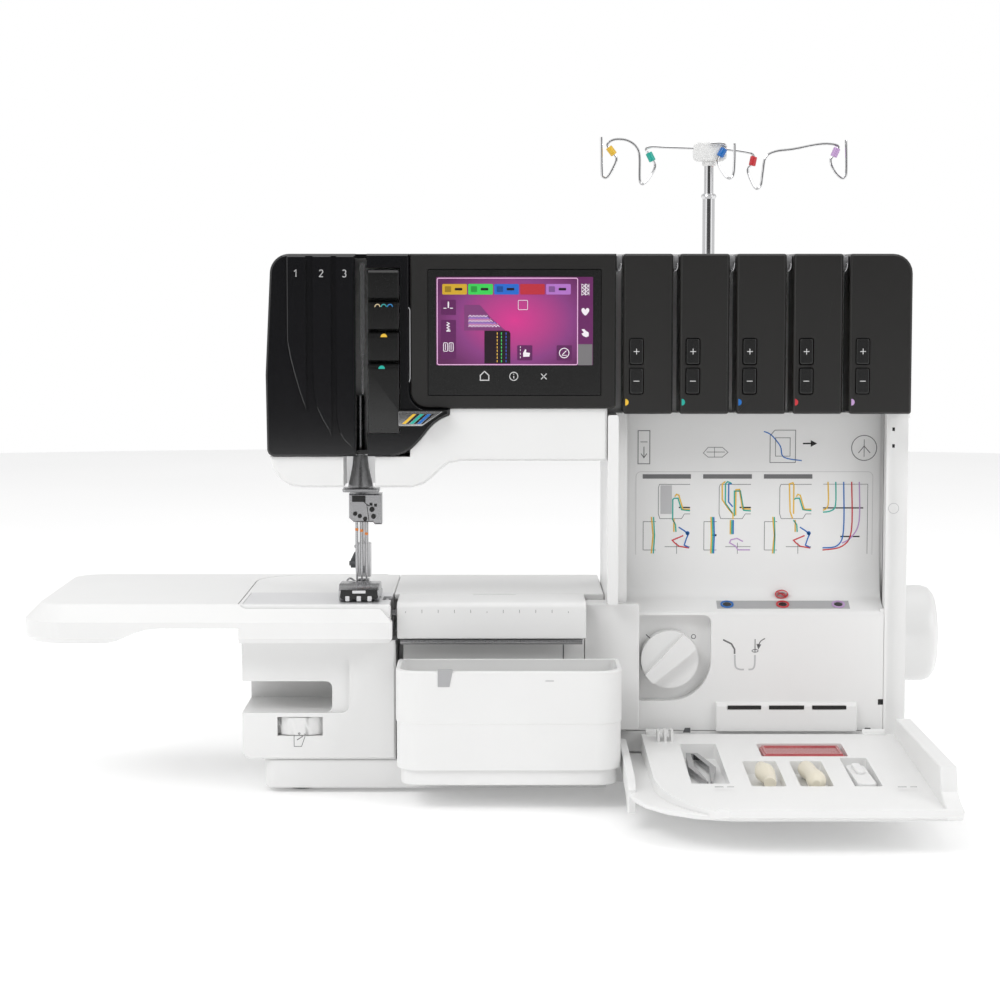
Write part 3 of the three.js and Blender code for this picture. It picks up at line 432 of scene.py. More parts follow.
# ---------------------------------------------------------------- touch screen
glass_low, _ = span("touch_screen")
SCREEN_AT = facing(glass_low.y)
PICTURE = (-38.9, 255.7, 56.6, 309.4)
GLOW_CENTRE = (9.0, 283.0)
PICTURE_GLOW, ICON_GLOW = 0.45, 0.35


def screen_picture():
    """Lit display: pink in the middle, falling to dark purple at the edges."""
    material, tree, shader = nodes_of("display_picture")
    coordinates = tree.nodes.new("ShaderNodeTexCoord")
    centre = place(GLOW_CENTRE[0], 0, GLOW_CENTRE[1])
    offset = tree.nodes.new("ShaderNodeVectorMath")
    offset.operation = "SUBTRACT"
    offset.inputs[1].default_value = centre
    tree.links.new(coordinates.outputs["Object"], offset.inputs[0])
    stretch = tree.nodes.new("ShaderNodeVectorMath")
    stretch.operation = "MULTIPLY"
    stretch.inputs[1].default_value = (1 / (56 * MM), 0.0, 1 / (40 * MM))
    tree.links.new(offset.outputs["Vector"], stretch.inputs[0])
    length = tree.nodes.new("ShaderNodeVectorMath")
    length.operation = "LENGTH"
    tree.links.new(stretch.outputs["Vector"], length.inputs[0])
    colours = ramp(tree, length.outputs["Value"], [
        (0.0, (0.46, 0.028, 0.185)), (0.35, (0.30, 0.034, 0.165)), (0.62, (0.17, 0.033, 0.15)),
        (0.95, (0.075, 0.012, 0.062))])
    tree.links.new(colours, shader.inputs["Base Color"])
    tree.links.new(colours, shader.inputs["Emission Color"])
    shader.inputs["Emission Strength"].default_value = PICTURE_GLOW
    shader.inputs["Roughness"].default_value = 0.3
    return material


def lit(name, colour, glow=ICON_GLOW):
    return moulded(name, colour, 0.3, 0.03, 2500.0, 0.02, glow=glow)


ICON_WHITE = lit("icon_white", (0.66, 0.62, 0.66))
BOX_PURPLE = lit("box_purple", (0.085, 0.012, 0.075))
SCREEN_BLACK = lit("screen_black", (0.012, 0.003, 0.010), 0.0)
prints("screen_picture", "screen_glass", screen_picture(), SCREEN_AT, [rounded(*PICTURE, 0.6)], high=0.1)
prints("screen_frame_line", "screen_glass", lit("frame_pink", (0.62, 0.36, 0.56)), SCREEN_AT,
       [(rounded(-38.2, 256.1, 47.2, 308.6, 1.0), 0.55, True)], high=0.22)
TAB_COLOURS = [("gold", (0.46, 0.28, 0.02)), ("green", (0.035, 0.46, 0.07)), ("blue", (0.015, 0.105, 0.43)),
               ("red", (0.36, 0.022, 0.035)), ("lilac", (0.33, 0.13, 0.42))]
TAB_PITCH, TAB_WIDTH = 15.78, 15.0
for i, (name, colour) in enumerate(TAB_COLOURS):
    left = -35.1 + TAB_PITCH * i
    prints(f"tab_{name}", "screen_glass", lit(f"tab_{name}", colour), SCREEN_AT,
           [rounded(left, 298.7, left + TAB_WIDTH, 305.1, 0.7)], high=0.24)
    if name != "red":
        prints(f"tab_{name}_field", "screen_glass", lit(f"tab_{name}_field", tinted(colour, 0.5)),
            SCREEN_AT,
               [rounded(left + 1.6, 300.2, left + 5.4, 303.7, 0.4)], high=0.32)
        prints(f"tab_{name}_level", "screen_glass", SCREEN_BLACK, SCREEN_AT,
               [rounded(left + 7.6, 301.2, left + 12.2, 302.7, 0.5)], high=0.32)
prints("screen_boxes", "screen_glass", BOX_PURPLE, SCREEN_AT, [
    rounded(-36, 286.3, -26.8, 295.5, 0.6), rounded(-36, 259.5, -26.8, 283.3, 0.6),
    rounded(10.5, 258.7, 19.7, 267.9, 0.6), rounded(34.5, 258.7, 43.8, 267.9, 0.6)], high=0.2)
prints("screen_sidebar", "screen_glass", lit("sidebar_purple", (0.10, 0.014, 0.085)), SCREEN_AT,
       [rounded(47.6, 268.9, 56.5, 309.3, 0.4)], high=0.2)
prints("screen_sidebar_box", "screen_glass", lit("sidebar_grey", (0.14, 0.135, 0.14)), SCREEN_AT,
       [rounded(47.4, 255.8, 56.2, 268.5, 0.4)], high=0.2)
HEART = smooth([(51.9, 286.0), (49.8, 288.2), (49.7, 290.0), (51.0, 290.5), (51.9, 289.5), (52.8, 290.5),
                (54.1, 290.0), (54.0, 288.2)], 4, closed=True)
HAND = [(49.6, 277.6), (51.2, 277.8), (52.6, 276.4), (54.0, 275.6), (54.0, 273.4), (52.4, 272.8),
    (50.6, 273.6),
        (49.6, 275.0), (51.0, 275.6)]
THUMB = [(14.1, 260.9), (14.1, 263.2), (15.3, 265.4), (16.0, 265.3), (15.9, 263.6), (18.3, 263.2),
    (17.9, 261.0)]
stitch_icon = []
for x in (50.7, 53.1):
    zigzag = [(x + (0.8 if k % 2 else -0.8), 298.4 + k * 1.1) for k in range(7)]
    stitch_icon += [(zigzag, 0.4), ([(x - 1.0, 298.2), (x - 1.0, 305.2)], 0.3),
        ([(x + 1.0, 298.2), (x + 1.0, 305.2)], 0.3)]
needle_icon = [([(-31.4, 290.6), (-31.4, 294.4)], 0.8), ([(-34.4, 290.4), (-32.6, 290.4)], 0.5),
               ([(-30.4, 290.4), (-28.6, 290.4)], 0.5)]
wave_icon = [([(-32.6 + (1.8 if k % 2 else 0.2), 276.8 + k * 0.85) for k in range(7)], 0.5),
             ([(-32.6, 276.6), (-30.2, 276.6)], 0.7)]
gather_icon = [(rounded(-34.4, 264.3, -31.9, 269.4, 0.6), 0.4, True),
    (rounded(-31.0, 264.3, -28.5, 269.4, 0.6), 0.4, True),
               ([(-33.2, 265), (-33.2, 268.8)], 0.4), ([(-29.8, 265), (-29.8, 268.8)], 0.4)]
prints("screen_icons", "screen_glass", ICON_WHITE, SCREEN_AT, [
    *stitch_icon, *needle_icon, *wave_icon, *gather_icon, [tuple(p) for p in HEART], HAND, THUMB,
    (rounded(11.1, 289.5, 16.8, 295.2, 0.6), 0.3, True),
    *[([(12.4, z), (12.4, z + 1.1)], 0.35) for z in (260.0, 262.2, 264.4, 266.2)],
    (circle(39.1, 263.2, 2.9), 0.5, True), ([(38.0, 262.2), (40.4, 264.6)], 0.5),
    ([(37.6, 261.8), (40.6, 261.8)], 0.35)],
       high=0.32)
prints("screen_fabric", "screen_glass", lit("fabric_mauve", (0.15, 0.035, 0.13)), SCREEN_AT,
       [[(-21.7, 276.9), (3.2, 276.9), (-5.6, 284.6), (-12.2, 292.4), (-21.7, 292.4)]], high=0.2)
prints("screen_cloth", "screen_glass", SCREEN_BLACK, SCREEN_AT,
       [[(-9.5, 256.8), (6.3, 256.8), (6.3, 275.2), (5.6, 276.4), (3.4, 276.8), (-9.5, 276.8)]], high=0.26)
for name, colour, rows in (
        ("white", (0.60, 0.50, 0.62), (279.6, 282.6, 285.6)), ("rose", (0.52, 0.20, 0.34), (280.6, 283.6)),
        ("violet", (0.20, 0.14, 0.50), (281.4, 284.4))):
    prints(f"screen_loops_{name}", "screen_glass", lit(f"loops_{name}", colour), SCREEN_AT,
           [([(-19.2 + 1.05 * k,
           z + (0.55 if k % 2 else -0.55)) for k in range(int((21.2 - (z - 279) * 1.25) / 1.05))], 0.42)
            for z in rows], high=0.3)
for name, colour, x in (("yellow", (0.62, 0.36, 0.06), -1.7), ("green", (0.05, 0.50, 0.10), 0.9),
    ("blue", (0.04, 0.08, 0.40), 3.7)):
    prints(f"screen_dashes_{name}", "screen_glass", lit(f"dash_{name}", colour), SCREEN_AT,
           [([(x, 257.6 + 2.1 * k), (x, 258.9 + 2.1 * k)], 0.5) for k in range(9)], high=0.34)

# Touch keys under the picture: home, information ring, clear cross.
prints("touch_key_icons", "printed_marks", MARK, SCREEN_AT, [
    ([(-12.0, 246.6), (-12.0, 249.6), (-9.4, 252.0), (-6.8, 249.6), (-6.8, 246.6)], 0.6, True),
    (circle(8.4, 249.0, 2.5), 0.5, True), ([(8.4, 247.7), (8.4, 249.3)], 0.5), circle(8.4, 250.3, 0.35, 8),
    ([(25.0, 247.2), (28.4, 250.6)], 0.55), ([(25.0, 250.6), (28.4, 247.2)], 0.55)])

# ---------------------------------------------------------------- tension modules
for i, colour in enumerate(THREADS, start=1):
    for kind in ("plus", "minus"):
        low, high = span(f"{kind}_key_{i}")
        x, z = (low.x + high.x) / 2, (low.z + high.z) / 2
        arm, half = 1.75, 0.24
        sign = [(x - arm, z - half), (x + arm, z - half), (x + arm, z + half), (x - arm, z + half)]
        if kind == "plus":
            sign = [(x - arm, z - half), (x - half, z - half), (x - half, z - arm), (x + half, z - arm),
                    (x + half, z - half), (x + arm, z - half), (x + arm, z + half), (x + half, z + half),
                    (x + half, z + arm), (x - half, z + arm), (x - half, z + half), (x - arm, z + half)]
        prints(f"{kind}_sign_{i}", "printed_marks", MARK, facing(low.y), [sign], f"{kind}_key_{i}")
    low, high = span(f"tension_module_{i}")
    prints(f"thread_dot_{i}", "accent_plastic", SLEEVES[colour], facing(low.y),
           [arc(low.x + 1.35, 233.2, 2.05, -90, 90, 10)])

    def notch(work, right=low.x, top=high.z):
        """Pale thread guide that closes the gap left of a module near its top."""
        outline = [(right - 4.0, top - 1.2), (right - 3.9, top - 9.4), (right - 2.6, top - 11.4),
            (right - 0.5, top - 8.6),
                   (right - 0.5, top - 1.2)]
        slab(work, outline, facing(7.0), -18.0, 0.0)
    piece(f"guide_notch_{i}", BODY, "white_shell", LIGHT_GREY, notch, 0.3)

    def hook(work, right=low.x, top=high.z):
        points = [(right - 3.4, 5.6, top - 11.0), (right - 2.2, 5.0, top - 7.6),
            (right - 1.2, 5.0, top - 5.6),
                  (right - 1.6, 5.4, top - 9.0), (right - 2.6, 5.8, top - 10.4)]
        tube(work, smooth(points, 4), 0.28, 8)
    piece(f"guide_hook_{i}", BODY, "chrome", CHROME, hook)

# ---------------------------------------------------------------- head: numbers, guides and lever marks
head_low, _ = span("head_cover")
CHANNEL_FRONT = facing(head_low.y)
NUMERALS = {
    1: [([(-0.7, 1.2), (0.4, 2.1), (0.4, -2.1)], 0.42)],
    2: [([*arc(0, 1.0, 1.1, 160, -20, 8), (-1.1, -2.0), (1.2, -2.0)], 0.42)],
    3: [([*arc(0, 1.0, 1.05, 150, -70, 8), *arc(0, -1.05, 1.15, 70, -150, 8)], 0.42)]}
for number, x in ((1, -124.2), (2, -108.6), (3, -94.6)):
    prints(f"channel_number_{number}", "printed_marks", MARK, CHANNEL_FRONT,
        moved(NUMERALS[number], x, 311.5), low=-0.05, high=0.1)
prints("lever_marks", "printed_marks", MARK, facing(0.0), [
    ([(-91.3, 248.0), (-91.3, 239.4), (-90.8, 238.6), (-90.0, 238.4), (-89.4, 238.9)], 0.45),
    [(-92.1, 246.6), (-91.3, 248.6), (-90.5, 246.6)],
    ([(-89.6, 294.6), (-89.6, 297.4)], 0.6)], low=-0.05, high=0.1)

STEP_ROUND, STEP_FRONT = 4.0, -3.0


def on_step(top):
    """Drawing surface that follows the rounded upper edge of a guide step."""
    def at(u, v, d):
        over = min(max(v - (top - STEP_ROUND), 0.0) / STEP_ROUND, 0.999)
        t = 1 - math.sqrt(1 - over)
        return place(u, STEP_FRONT + STEP_ROUND * t * t - d, v + d * t)
    return at


for name, colour, x in (("cream", (0.62, 0.50, 0.30), -74.4), ("teal", (0.03, 0.36, 0.36), -70.6),
    ("blue", (0.02, 0.20, 0.48), -66.8)):
    prints(f"guide_arc_{name}", "accent_plastic", moulded(f"arc_{name}", colour, 0.35), on_step(294.5),
           [(arc(x, 291.2, 1.55, 0, 180, 8), 0.55)], high=0.2)
for name, x, z, top in (("yellow", -70.6, 272.9, 276.0), ("teal", -72.0, 253.6, 257.0)):
    prints(f"guide_half_disc_{name}", "accent_plastic", SLEEVES[name], on_step(top),
        [arc(x, z, 2.0, 0, 180, 12)], high=0.2)
# Light grey line down the edge of the face cover: a painted highlight that stands for the lit rim of that
# edge. It is not a print.
prints("face_edge_painted_highlight", "printed_marks", LIGHT_GREY, facing(0.0),
    [([(-55.6, 291.0), (-54.8, 289.4), (-54.8, 248.0), (-55.4, 245.6)], 0.45)],
       low=-1.0, high=0.35)


def striped_guide(work):
    slab(work, [(-61.6, 219.2), (-47.4, 219.2), (-35.0, 227.8), (-61.6, 227.8)], facing(-8.0), -0.2, 0.5)


piece("striped_guide_plate", BODY, "chrome", CHROME, striped_guide, 0.2)
for name, u in (("yellow", 0.0), ("teal", 4.6), ("blue", 9.0)):
    prints(f"guide_stripe_{name}", "accent_plastic", SLEEVES[name], facing(-8.5),
           [[(-59.6 + u, 220.4), (-57.4 + u, 220.4), (-50.8 + u, 226.4), (-53.0 + u, 226.4)]])
prints("guide_stripe_dark", "satin_black", DARK, facing(-8.5), [
    [(-57.0 + u, 220.4), (-55.6 + u, 220.4), (-49.0 + u, 226.4), (-50.4 + u, 226.4)] for u in (0.0, 4.6,
    9.0)])

# ---------------------------------------------------------------- thread guide rail
MAST_X, MAST_Y = 139.6, 160.0
RAIL_BODY = "mast_top"
WIRE_RADIUS = 0.9


def rail_hub(work):
    slab(work, rounded(129.2, 386.4, 151.0, 398.8, 3.4), facing(MAST_Y), -6.0, 6.0)


hub = piece("rail_hub", RAIL_BODY, "white_shell", WHITE, rail_hub, 1.0)
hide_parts("thread_guide_rail")

LEFT_WIRE = [(131, 395), (112, 395.6), (100.6, 396), (97.6, 394.2), (101, 389), (103.6, 383), (99.5, 375),
             (95.4, 371.4), (93.4, 374.6), (93.2, 390), (90.4, 396.8), (84, 400.6), (76, 400.8),
             (71.6, 397.4),
             (74.4, 393.4), (77.8, 388.4), (75.6, 382), (72, 376.2), (69, 376), (68, 380), (67.6, 402.6)]
RIGHT_WIRE = [(149, 394.4), (160, 393.2), (168.8, 391), (169, 385.6), (165.6, 381), (167.8, 374),
              (171, 368.6), (174.2, 370), (175.4, 378), (177.4, 388.8), (184, 393), (196, 394.6),
              (215, 398),
              (225.6, 396.8), (224, 392.4), (220.8, 387), (223.4, 380), (228, 375.4), (231.2, 377.2),
              (231.4, 390), (231, 400.6)]
FRONT_WIRE = [(140, 397.6), (147, 398), (150.2, 396), (147.7, 392), (144.6, 386.6), (148, 379), (152, 375),
              (155.2, 377), (156, 387), (156, 398)]


def rail_wire(work, path, y):
    tube(work, [(x, y, z) for x, z in (p.to_tuple() for p in smooth(path, 5))], WIRE_RADIUS, 10)


for side, path, y in (("left", LEFT_WIRE, MAST_Y), ("right", RIGHT_WIRE, MAST_Y),
    ("front", FRONT_WIRE, MAST_Y - 7)):
    piece(f"rail_wire_{side}", RAIL_BODY, "chrome", CHROME, lambda work, path=path,
        y=y: rail_wire(work, path, y))

SLEEVE_RADIUS, SLEEVE_HALF = 2.3, 3.1
for name, x, z, y, lean in (("yellow", 74.4, 393.4, MAST_Y, (0.60, -0.80)),
    ("teal", 100.6, 389.4, MAST_Y, (0.45, -0.89)),
                            ("blue", 147.7, 392.0, MAST_Y - 7, (-0.50, -0.87)),
                            ("red", 169.0, 386.6, MAST_Y, (-0.2, -0.98)),
                            ("lilac", 224.0, 392.4, MAST_Y, (-0.40, -0.92))):
    def sleeve(work, x=x, z=z, y=y, lean=lean):
        along = Vector((lean[0], 0, lean[1])) * SLEEVE_HALF
        centre = Vector((x, y, z))
        tube(work, [centre - along, centre + along], SLEEVE_RADIUS, 18)
    piece(f"rail_sleeve_{name}", RAIL_BODY, "accent_plastic", SLEEVES[name], sleeve, 0.5)


def rail_collar(work):
    disc(work, (MAST_X, MAST_Y, 0), "z", 4.6, 383.4, 386.8)


piece("rail_collar", RAIL_BODY, "white_shell", WHITE, rail_collar, 0.6)


def mast_ring(work):
    tube(work, [(MAST_X, MAST_Y, z) for z in (361.5, 363.2, 364.6)], [4.3, 5.2, 4.6], 28)


piece("mast_ring", BODY, "chrome", CHROME, mast_ring, 0.2)

# ---------------------------------------------------------------- threading diagrams on the bay panel
STICKER_Y = 46.0
STICKER = facing(STICKER_Y)
prints("sticker_upper_marks", "printed_marks", PRINT, STICKER, [
    ([(86.9, 192.2), (94.3, 192.2), (94.3, 213.1), (86.9, 213.1)], 0.5, True),
    ([(88.4, 206), (92.8, 206)], 0.4), ([(90.6, 196), (90.6, 203)], 0.5),
    ([(88.8, 198.6), (90.6, 196), (92.4, 198.6)], 0.5),
    ([(128, 199), (131, 202.6), (140, 202.6), (143.5, 199.4), (140, 196.4), (131, 196.4)], 0.35, True),
    ([(130, 199.6), (141.6, 199.6)], 0.35), ([(135, 202.6), (135, 196.4)], 0.3),
    ([(170, 193), (170, 210), (173, 213.4), (186, 213.4), (186, 193)], 0.4, True),
    ([(173.4, 197), (182.6, 197), (182.6, 208.6), (173.4, 208.6)], 0.35, True),
    (circle(229.2, 202.2, 7.9, 40), 0.5, True), ([(229.2, 196.6), (229.2, 207.6)], 0.4),
    ([(225.6, 199), (229.2, 203.4), (233, 199)], 0.5)])
prints("sticker_upper_thread", "accent_plastic", THREAD_INK["blue"], STICKER, [
    (smooth([(166, 212.6), (170.6, 210.4), (176.4, 203.4), (178.6, 196.4), (190, 194.2)], 4), 0.7)])
prints("sticker_upper_arrow", "printed_marks", DARK, STICKER, [
    ([(190.6, 205), (196.2, 205)], 0.9), [(195.6, 202.9), (199.6, 205), (195.6, 207.1)]])
prints("sticker_frame", "printed_marks", MARK, STICKER, [
    (rounded(85.7, 129.4, 234.9, 187.2, 3.0), 0.35, True)])
prints("sticker_headers", "printed_marks", PRINT, STICKER, [
    [(x0, 182.8), (x1, 182.8), (x1, 185.6), (x0, 185.6)] for x0,
    x1 in ((89.9, 120.3), (128, 158.7), (166.3, 196.8))])

HEAD_OUTLINE = [(20.5, 47.6), (1.2, 47.6), (0.5, 45.6), (0.5, 28.9), (1.5, 25.9), (15.2, 25.9), (17, 28.9),
    (20.5, 28.9)]
NEEDLE_YELLOW = [(10.9, 39.8), (11.9, 41.3), (13.4, 40.7), (16, 31.9), (20.5, 31.9)]
NEEDLE_TEAL = [(9.6, 25.9), (9.6, 38), (10.6, 38.8), (12.9, 38.8), (15.2, 31.6), (20.5, 30.9)]
RED_LOOPER = [(16.4, 15.2), (13.7, 14), (9.4, 12.2), (10.9, 10.6), (13.7, 8.4), (20.1, 7.3)]
BLUE_LOOPER = [(13.4, 20.5), (17, 18.2), (19.5, 16), (18.2, 12.9), (17, 9.1), (20.1, 7.6)]
TABLE_LINES = [([(4.6, 8.1), (20.5, 8.1)], 0.35), ([(12.2, 10.6), (12.2, 3)], 0.35),
    ([(4.6, 3), (20.5, 3)], 0.35),
               ([(4.6, -0.3), (20.5, -0.3)], 0.35)]
BRACKET = [([(-9, 24), (-9, 6)], 0.35), ([(-9, 24), (-1, 24)], 0.35), ([(-9, 6), (-1, 6)], 0.35)]


def diagram(name, du, dv, inks):
    for ink, shapes in inks.items():
        material = THREAD_INK.get(ink, PRINT if ink == "outline" else PALE_PRINT if ink == "pale" else DARK)
        slot = "accent_plastic" if ink in THREAD_INK else "printed_marks"
        rise = 0.16 if ink in THREAD_INK else 0.10
        prints(f"{name}_{ink}", slot, material, STICKER, moved(shapes, du, dv), high=rise)


LINE = 0.8
diagram("threading_1", 99.35, 131.6, {
    "outline": [(HEAD_OUTLINE, 0.35)] + TABLE_LINES + BRACKET,
    "pale": [[(1.8, 28.9), (9.0, 28.9), (9.0, 47.0), (1.8, 47.0)]],
    "yellow": [(NEEDLE_YELLOW, LINE), ([(10.4, 25.9), (10.4, 17.5)], LINE),
    ([(-3.8, 27), (-2.7, 15.2), (-3.8, 3.8)], LINE)],
    "teal": [(NEEDLE_TEAL, LINE), ([(9.3, 25.9), (11.4, 22), (11.7, 17.5)], LINE),
    ([(-2.5, 27), (-1.8, 15.2), (-2.5, 3.8)], LINE)],
    "red": [(RED_LOOPER, LINE)],
    "blue": [(BLUE_LOOPER, LINE), circle(19, 16.7, 1.3, 16)],
    "dark": [([(13.4, 33.0), (20.5, 33.0)], 0.8)]})
diagram("threading_2", 137.7, 131.6, {
    "outline": [(HEAD_OUTLINE[:4] + [(1.5, 25.9), (15.2, 25.9), (17, 28.9), (20.5, 28.9)],
    0.35)] + TABLE_LINES + BRACKET,
    "yellow": [([(4.3, 49.4), (2.4, 47.9), (2.4, 38), (6.5, 31.9), (9.3, 28.9), (9.3, 25.5)], LINE),
               ([(11.0, 28), (11.0, 44.2), (13.2, 44.4), (15.2, 32.2), (20.5, 31.9)], LINE),
               ([(7.7, 25), (7.7, 16)], LINE), ([(-4.6, 27), (-4.2, 15.2), (-4.6, 3.8)], LINE)],
    "teal": [([(8.2, 48.3), (5.8, 49.3), (4.4, 47.9), (4.4, 35.7), (8.8, 29.6)], LINE),
             ([(10.1, 27.4), (10.1, 43.3), (13.8, 43.4), (16, 31.2), (20.5, 30.8)], LINE),
             ([(8.6, 25), (8.6, 16)], LINE), ([(-3.7, 27), (-3.3, 15.2), (-3.7, 3.8)], LINE)],
    "blue": [([(8.5, 47.9), (6.5, 47.9), (6.4, 36.5), (9.1, 33.4)], LINE), ([(9.5, 25), (9.5, 16)], LINE),
    ([(-2.8, 27), (-2.4, 15.2), (-2.8, 3.8)], LINE)],
    "dark": [([(13.4, 33.0), (20.5, 33.0)], 0.8), ([(-4.5, 15.4), (-1, 15.4)], 1.2)],
    "lilac": [([(15.7, 11.4), (11.9, 13.4), (8.1, 12.5), (7.3, 10.6), (11.1, 8.4), (12.6, 6.1),
    (20.2, 6.1)], LINE)]})
diagram("threading_3", 175.9, 131.6, {
    "outline": [(HEAD_OUTLINE, 0.35)] + TABLE_LINES + BRACKET,
    "yellow": [([(8.7, 25.9), (7.1, 30.4), (6.5, 47.9), (8.7, 48.6), (9.3, 47.1), (9.3, 28.9)], LINE),
    (NEEDLE_YELLOW, LINE),
               ([(10.4, 25), (10.4, 17.5)], LINE), ([(-3.8, 27), (-2.7, 15.2), (-3.8, 3.8)], LINE)],
    "teal": [(NEEDLE_TEAL[1:], LINE), ([(9.3, 25), (11.4, 22), (11.7, 17.5)], LINE),
             ([(-2.8, 27), (-2.4, 15.2), (-2.8, 3.8)], LINE)],
    "red": [(RED_LOOPER, LINE)],
    "blue": [(BLUE_LOOPER, LINE), circle(19, 16.7, 1.3, 16)]})
diagram("threading_4", 0, 0, {
    "outline": [([(203.7, 179.3), (231.8, 179.3), (231.8, 131.6), (203.7, 131.6)], 0.3)],
    "yellow": [(smooth([(206.7, 180.8), (206.9, 166), (203.7, 162.8)], 4), LINE)],
    "teal": [(smooth([(211.6, 180.8), (211.6, 166), (208.6, 162.4), (203.7, 161.6)], 4), LINE)],
    "blue": [(smooth([(216.6, 180.8), (216.8, 150), (213, 140.4), (203.7, 139)], 5), LINE)],
    "red": [(smooth([(221.6, 180.8), (221.8, 150), (216, 140), (203.7, 137.6)], 5), LINE)],
    "lilac": [(smooth([(226.4, 180.8), (226.6, 156), (222, 146), (216, 142)], 5), LINE)],
    "dark": [([(203.7, 164.3), (229.1, 164.3)], 0.8), ([(214.8, 146.2), (227, 146.2)], 0.8)]})

# ---------------------------------------------------------------- threading ports, knob icons and brushes
LEDGE_FRONT, LEDGE_LOW = 26.5, 102.0
LEDGE_ALONG = Vector((0, 11.5, 5.0)).normalized()
LEDGE_OUT = Vector((0, -LEDGE_ALONG.z, LEDGE_ALONG.y))
LEDGE_DEPTH = 12.5


def ledge(u, v, d):
    """Drawing plane on the sloping ledge; v runs from its front edge to its back."""
    lift = LEDGE_ALONG * v + LEDGE_OUT * d
    return place(u, LEDGE_FRONT + lift.y, LEDGE_LOW + lift.z)


prints("port_strip", "grey_plastic", LIGHT_GREY, ledge, [
    [(136, 1.6), (219, 1.6), (219, LEDGE_DEPTH - 1.6), (136, LEDGE_DEPTH - 1.6)]], low=-0.2, high=0.25)
for name, x in (("blue", 142.4), ("red", 177.3), ("lilac", 212.2)):
    prints(f"port_ring_{name}", "accent_plastic", SLEEVES[name], ledge, [
        (circle(x, 6.2, 3.6, 28), 1.1, True)], high=0.8)
    prints(f"port_hole_{name}", "satin_black", DARK, ledge, [circle(x, 6.2, 2.6, 24)], high=0.36)

prints("port_warning", "accent_plastic", SLEEVES["red"], facing(38.4), [
    (circle(177.3, 110.4, 3.9, 28, 0.62), 0.6, True), ([(174.6, 112.0), (180.0, 108.8)], 0.6),
    ([(174.8, 110.2), (177.0, 110.9), (179.8, 110.2)], 0.4)], low=-2.0, high=0.3)
FRONT_FACE = facing(24.0)
for name, z0, z1, y in (("upper", 104.0, 225.0, 46.7), ("lower", 28.0, 103.0, 24.7)):
    def edge_strip(work, z0=z0, z1=z1, y=y):
        slab(work, [(237.6, z0), (241.6, z0), (241.6, z1), (237.6, z1)], facing(y), -1.5, 0)
    piece(f"bay_edge_strip_{name}", BODY, "white_shell", WHITE, edge_strip)
prints("bay_fittings", "satin_black", DARK, FRONT_FACE, [
    [(236.6, 42.6), (239.8, 42.6), (239.8, 46.0), (236.6, 46.0)], arc(194.0, 27.2, 3.4, 0, 180, 14)])
prints("hinge_clips", "satin_black", GREY, facing(20.4), [
    [(x, 25.6), (x + 4.6, 25.6), (x + 4.6, 28.6), (x + 1.2, 28.6)] for x in (114.4, 227.0)], high=0.6)
prints("strip_catch", "satin_black", DARK, FRONT_FACE, [
    [(243.4, z), (245.0, z), (245.0, z + 2.2), (243.4, z + 2.2)] for z in (203.8, 214.2)])
prints("strip_lines", "printed_marks", PALE_PRINT, FRONT_FACE, [
    (circle(244.8, 166, 3.2, 24), 0.35, True)])
prints("post_cap", "printed_marks", PALE_PRINT, FRONT_FACE, [(circle(69.8, 199, 3.3, 24), 0.4, True)])
prints("knob_marks", "printed_marks", PRINT, FRONT_FACE, [
    ([(91.2, 86.9), (93.8, 84.5)], 0.6), (circle(120.9, 85.6, 1.3, 20), 0.5, True)])
prints("needle_threading_sketch", "printed_marks", PRINT, FRONT_FACE, [
    ([(139.4, 83.6), (144.6, 81.0), (146.6, 77.6), (146.6, 74.6)], 1.0),
    ([(159.4, 84.0), (159.4, 76)], 0.5),
    (circle(159.4, 76.6, 1.9, 20, 0.45), 0.45, True),
    (smooth([(165.6, 84.4), (162.8, 82.6), (161.4, 79.4)], 4), 0.6),
    [(160.2, 81.0), (161.5, 77.4), (163.2, 80.6)]])
prints("needle_threading_thread", "printed_marks", PALE_PRINT, FRONT_FACE, [
    (smooth([(146.8, 74.0), (147.2, 67.0), (149.4, 65.0), (152.6, 64.8)], 4), 1.0),
    (smooth([(159.4, 74.0), (159.2, 67.6), (158.0, 65.2), (155.4, 64.8)], 4), 1.0)])
for index, (x0, x1) in enumerate(((142.4, 163.2), (168.2, 190.0), (195.4, 216.4)), start=1):
    def bristles(work, x0=x0, x1=x1):
        slab(work, [(x0, 40.2), (x1, 40.2), (x1, 42.4), (x0, 42.4)], facing(20.5), -1.0, 0.25)
    piece(f"brush_bristles_{index}", BODY, "satin_black", RUBBER, bristles)

# ---------------------------------------------------------------- looper bay, bin, free arm
def looper_front_guard(work):
    outline = [(-60, 62), (33, 62)] + arc(33, 68, 6, -90, 0, 6)[1:] + [(39, 86.6), (-60, 86.6)]
    slab(work, outline, facing(14.5), 0, 2.5)


piece("looper_front_guard", BODY, "white_shell", WHITE, looper_front_guard, 0.3)


def looper_right_guard(work):
    slab(work, [(39.6, 62), (52, 62), (52, 86.6), (39.6, 86.6)], facing(14.5), 0, 2.5)


piece("looper_right_guard", BODY, "white_shell", WHITE, looper_right_guard, 0.3)
prints("guard_seam", "printed_marks", PRINT, facing(12.0), [
    ([(30, 62.6)] + arc(33.2, 68, 6, -80, 0, 6) + [(39.3, 86)], 0.5)])


def bin_clip(work):
    slab(work, [(-37, 66.6), (-30, 66.6), (-28, 77.0), (-37, 77.0)], facing(-55.0), -2.6, 0.4)


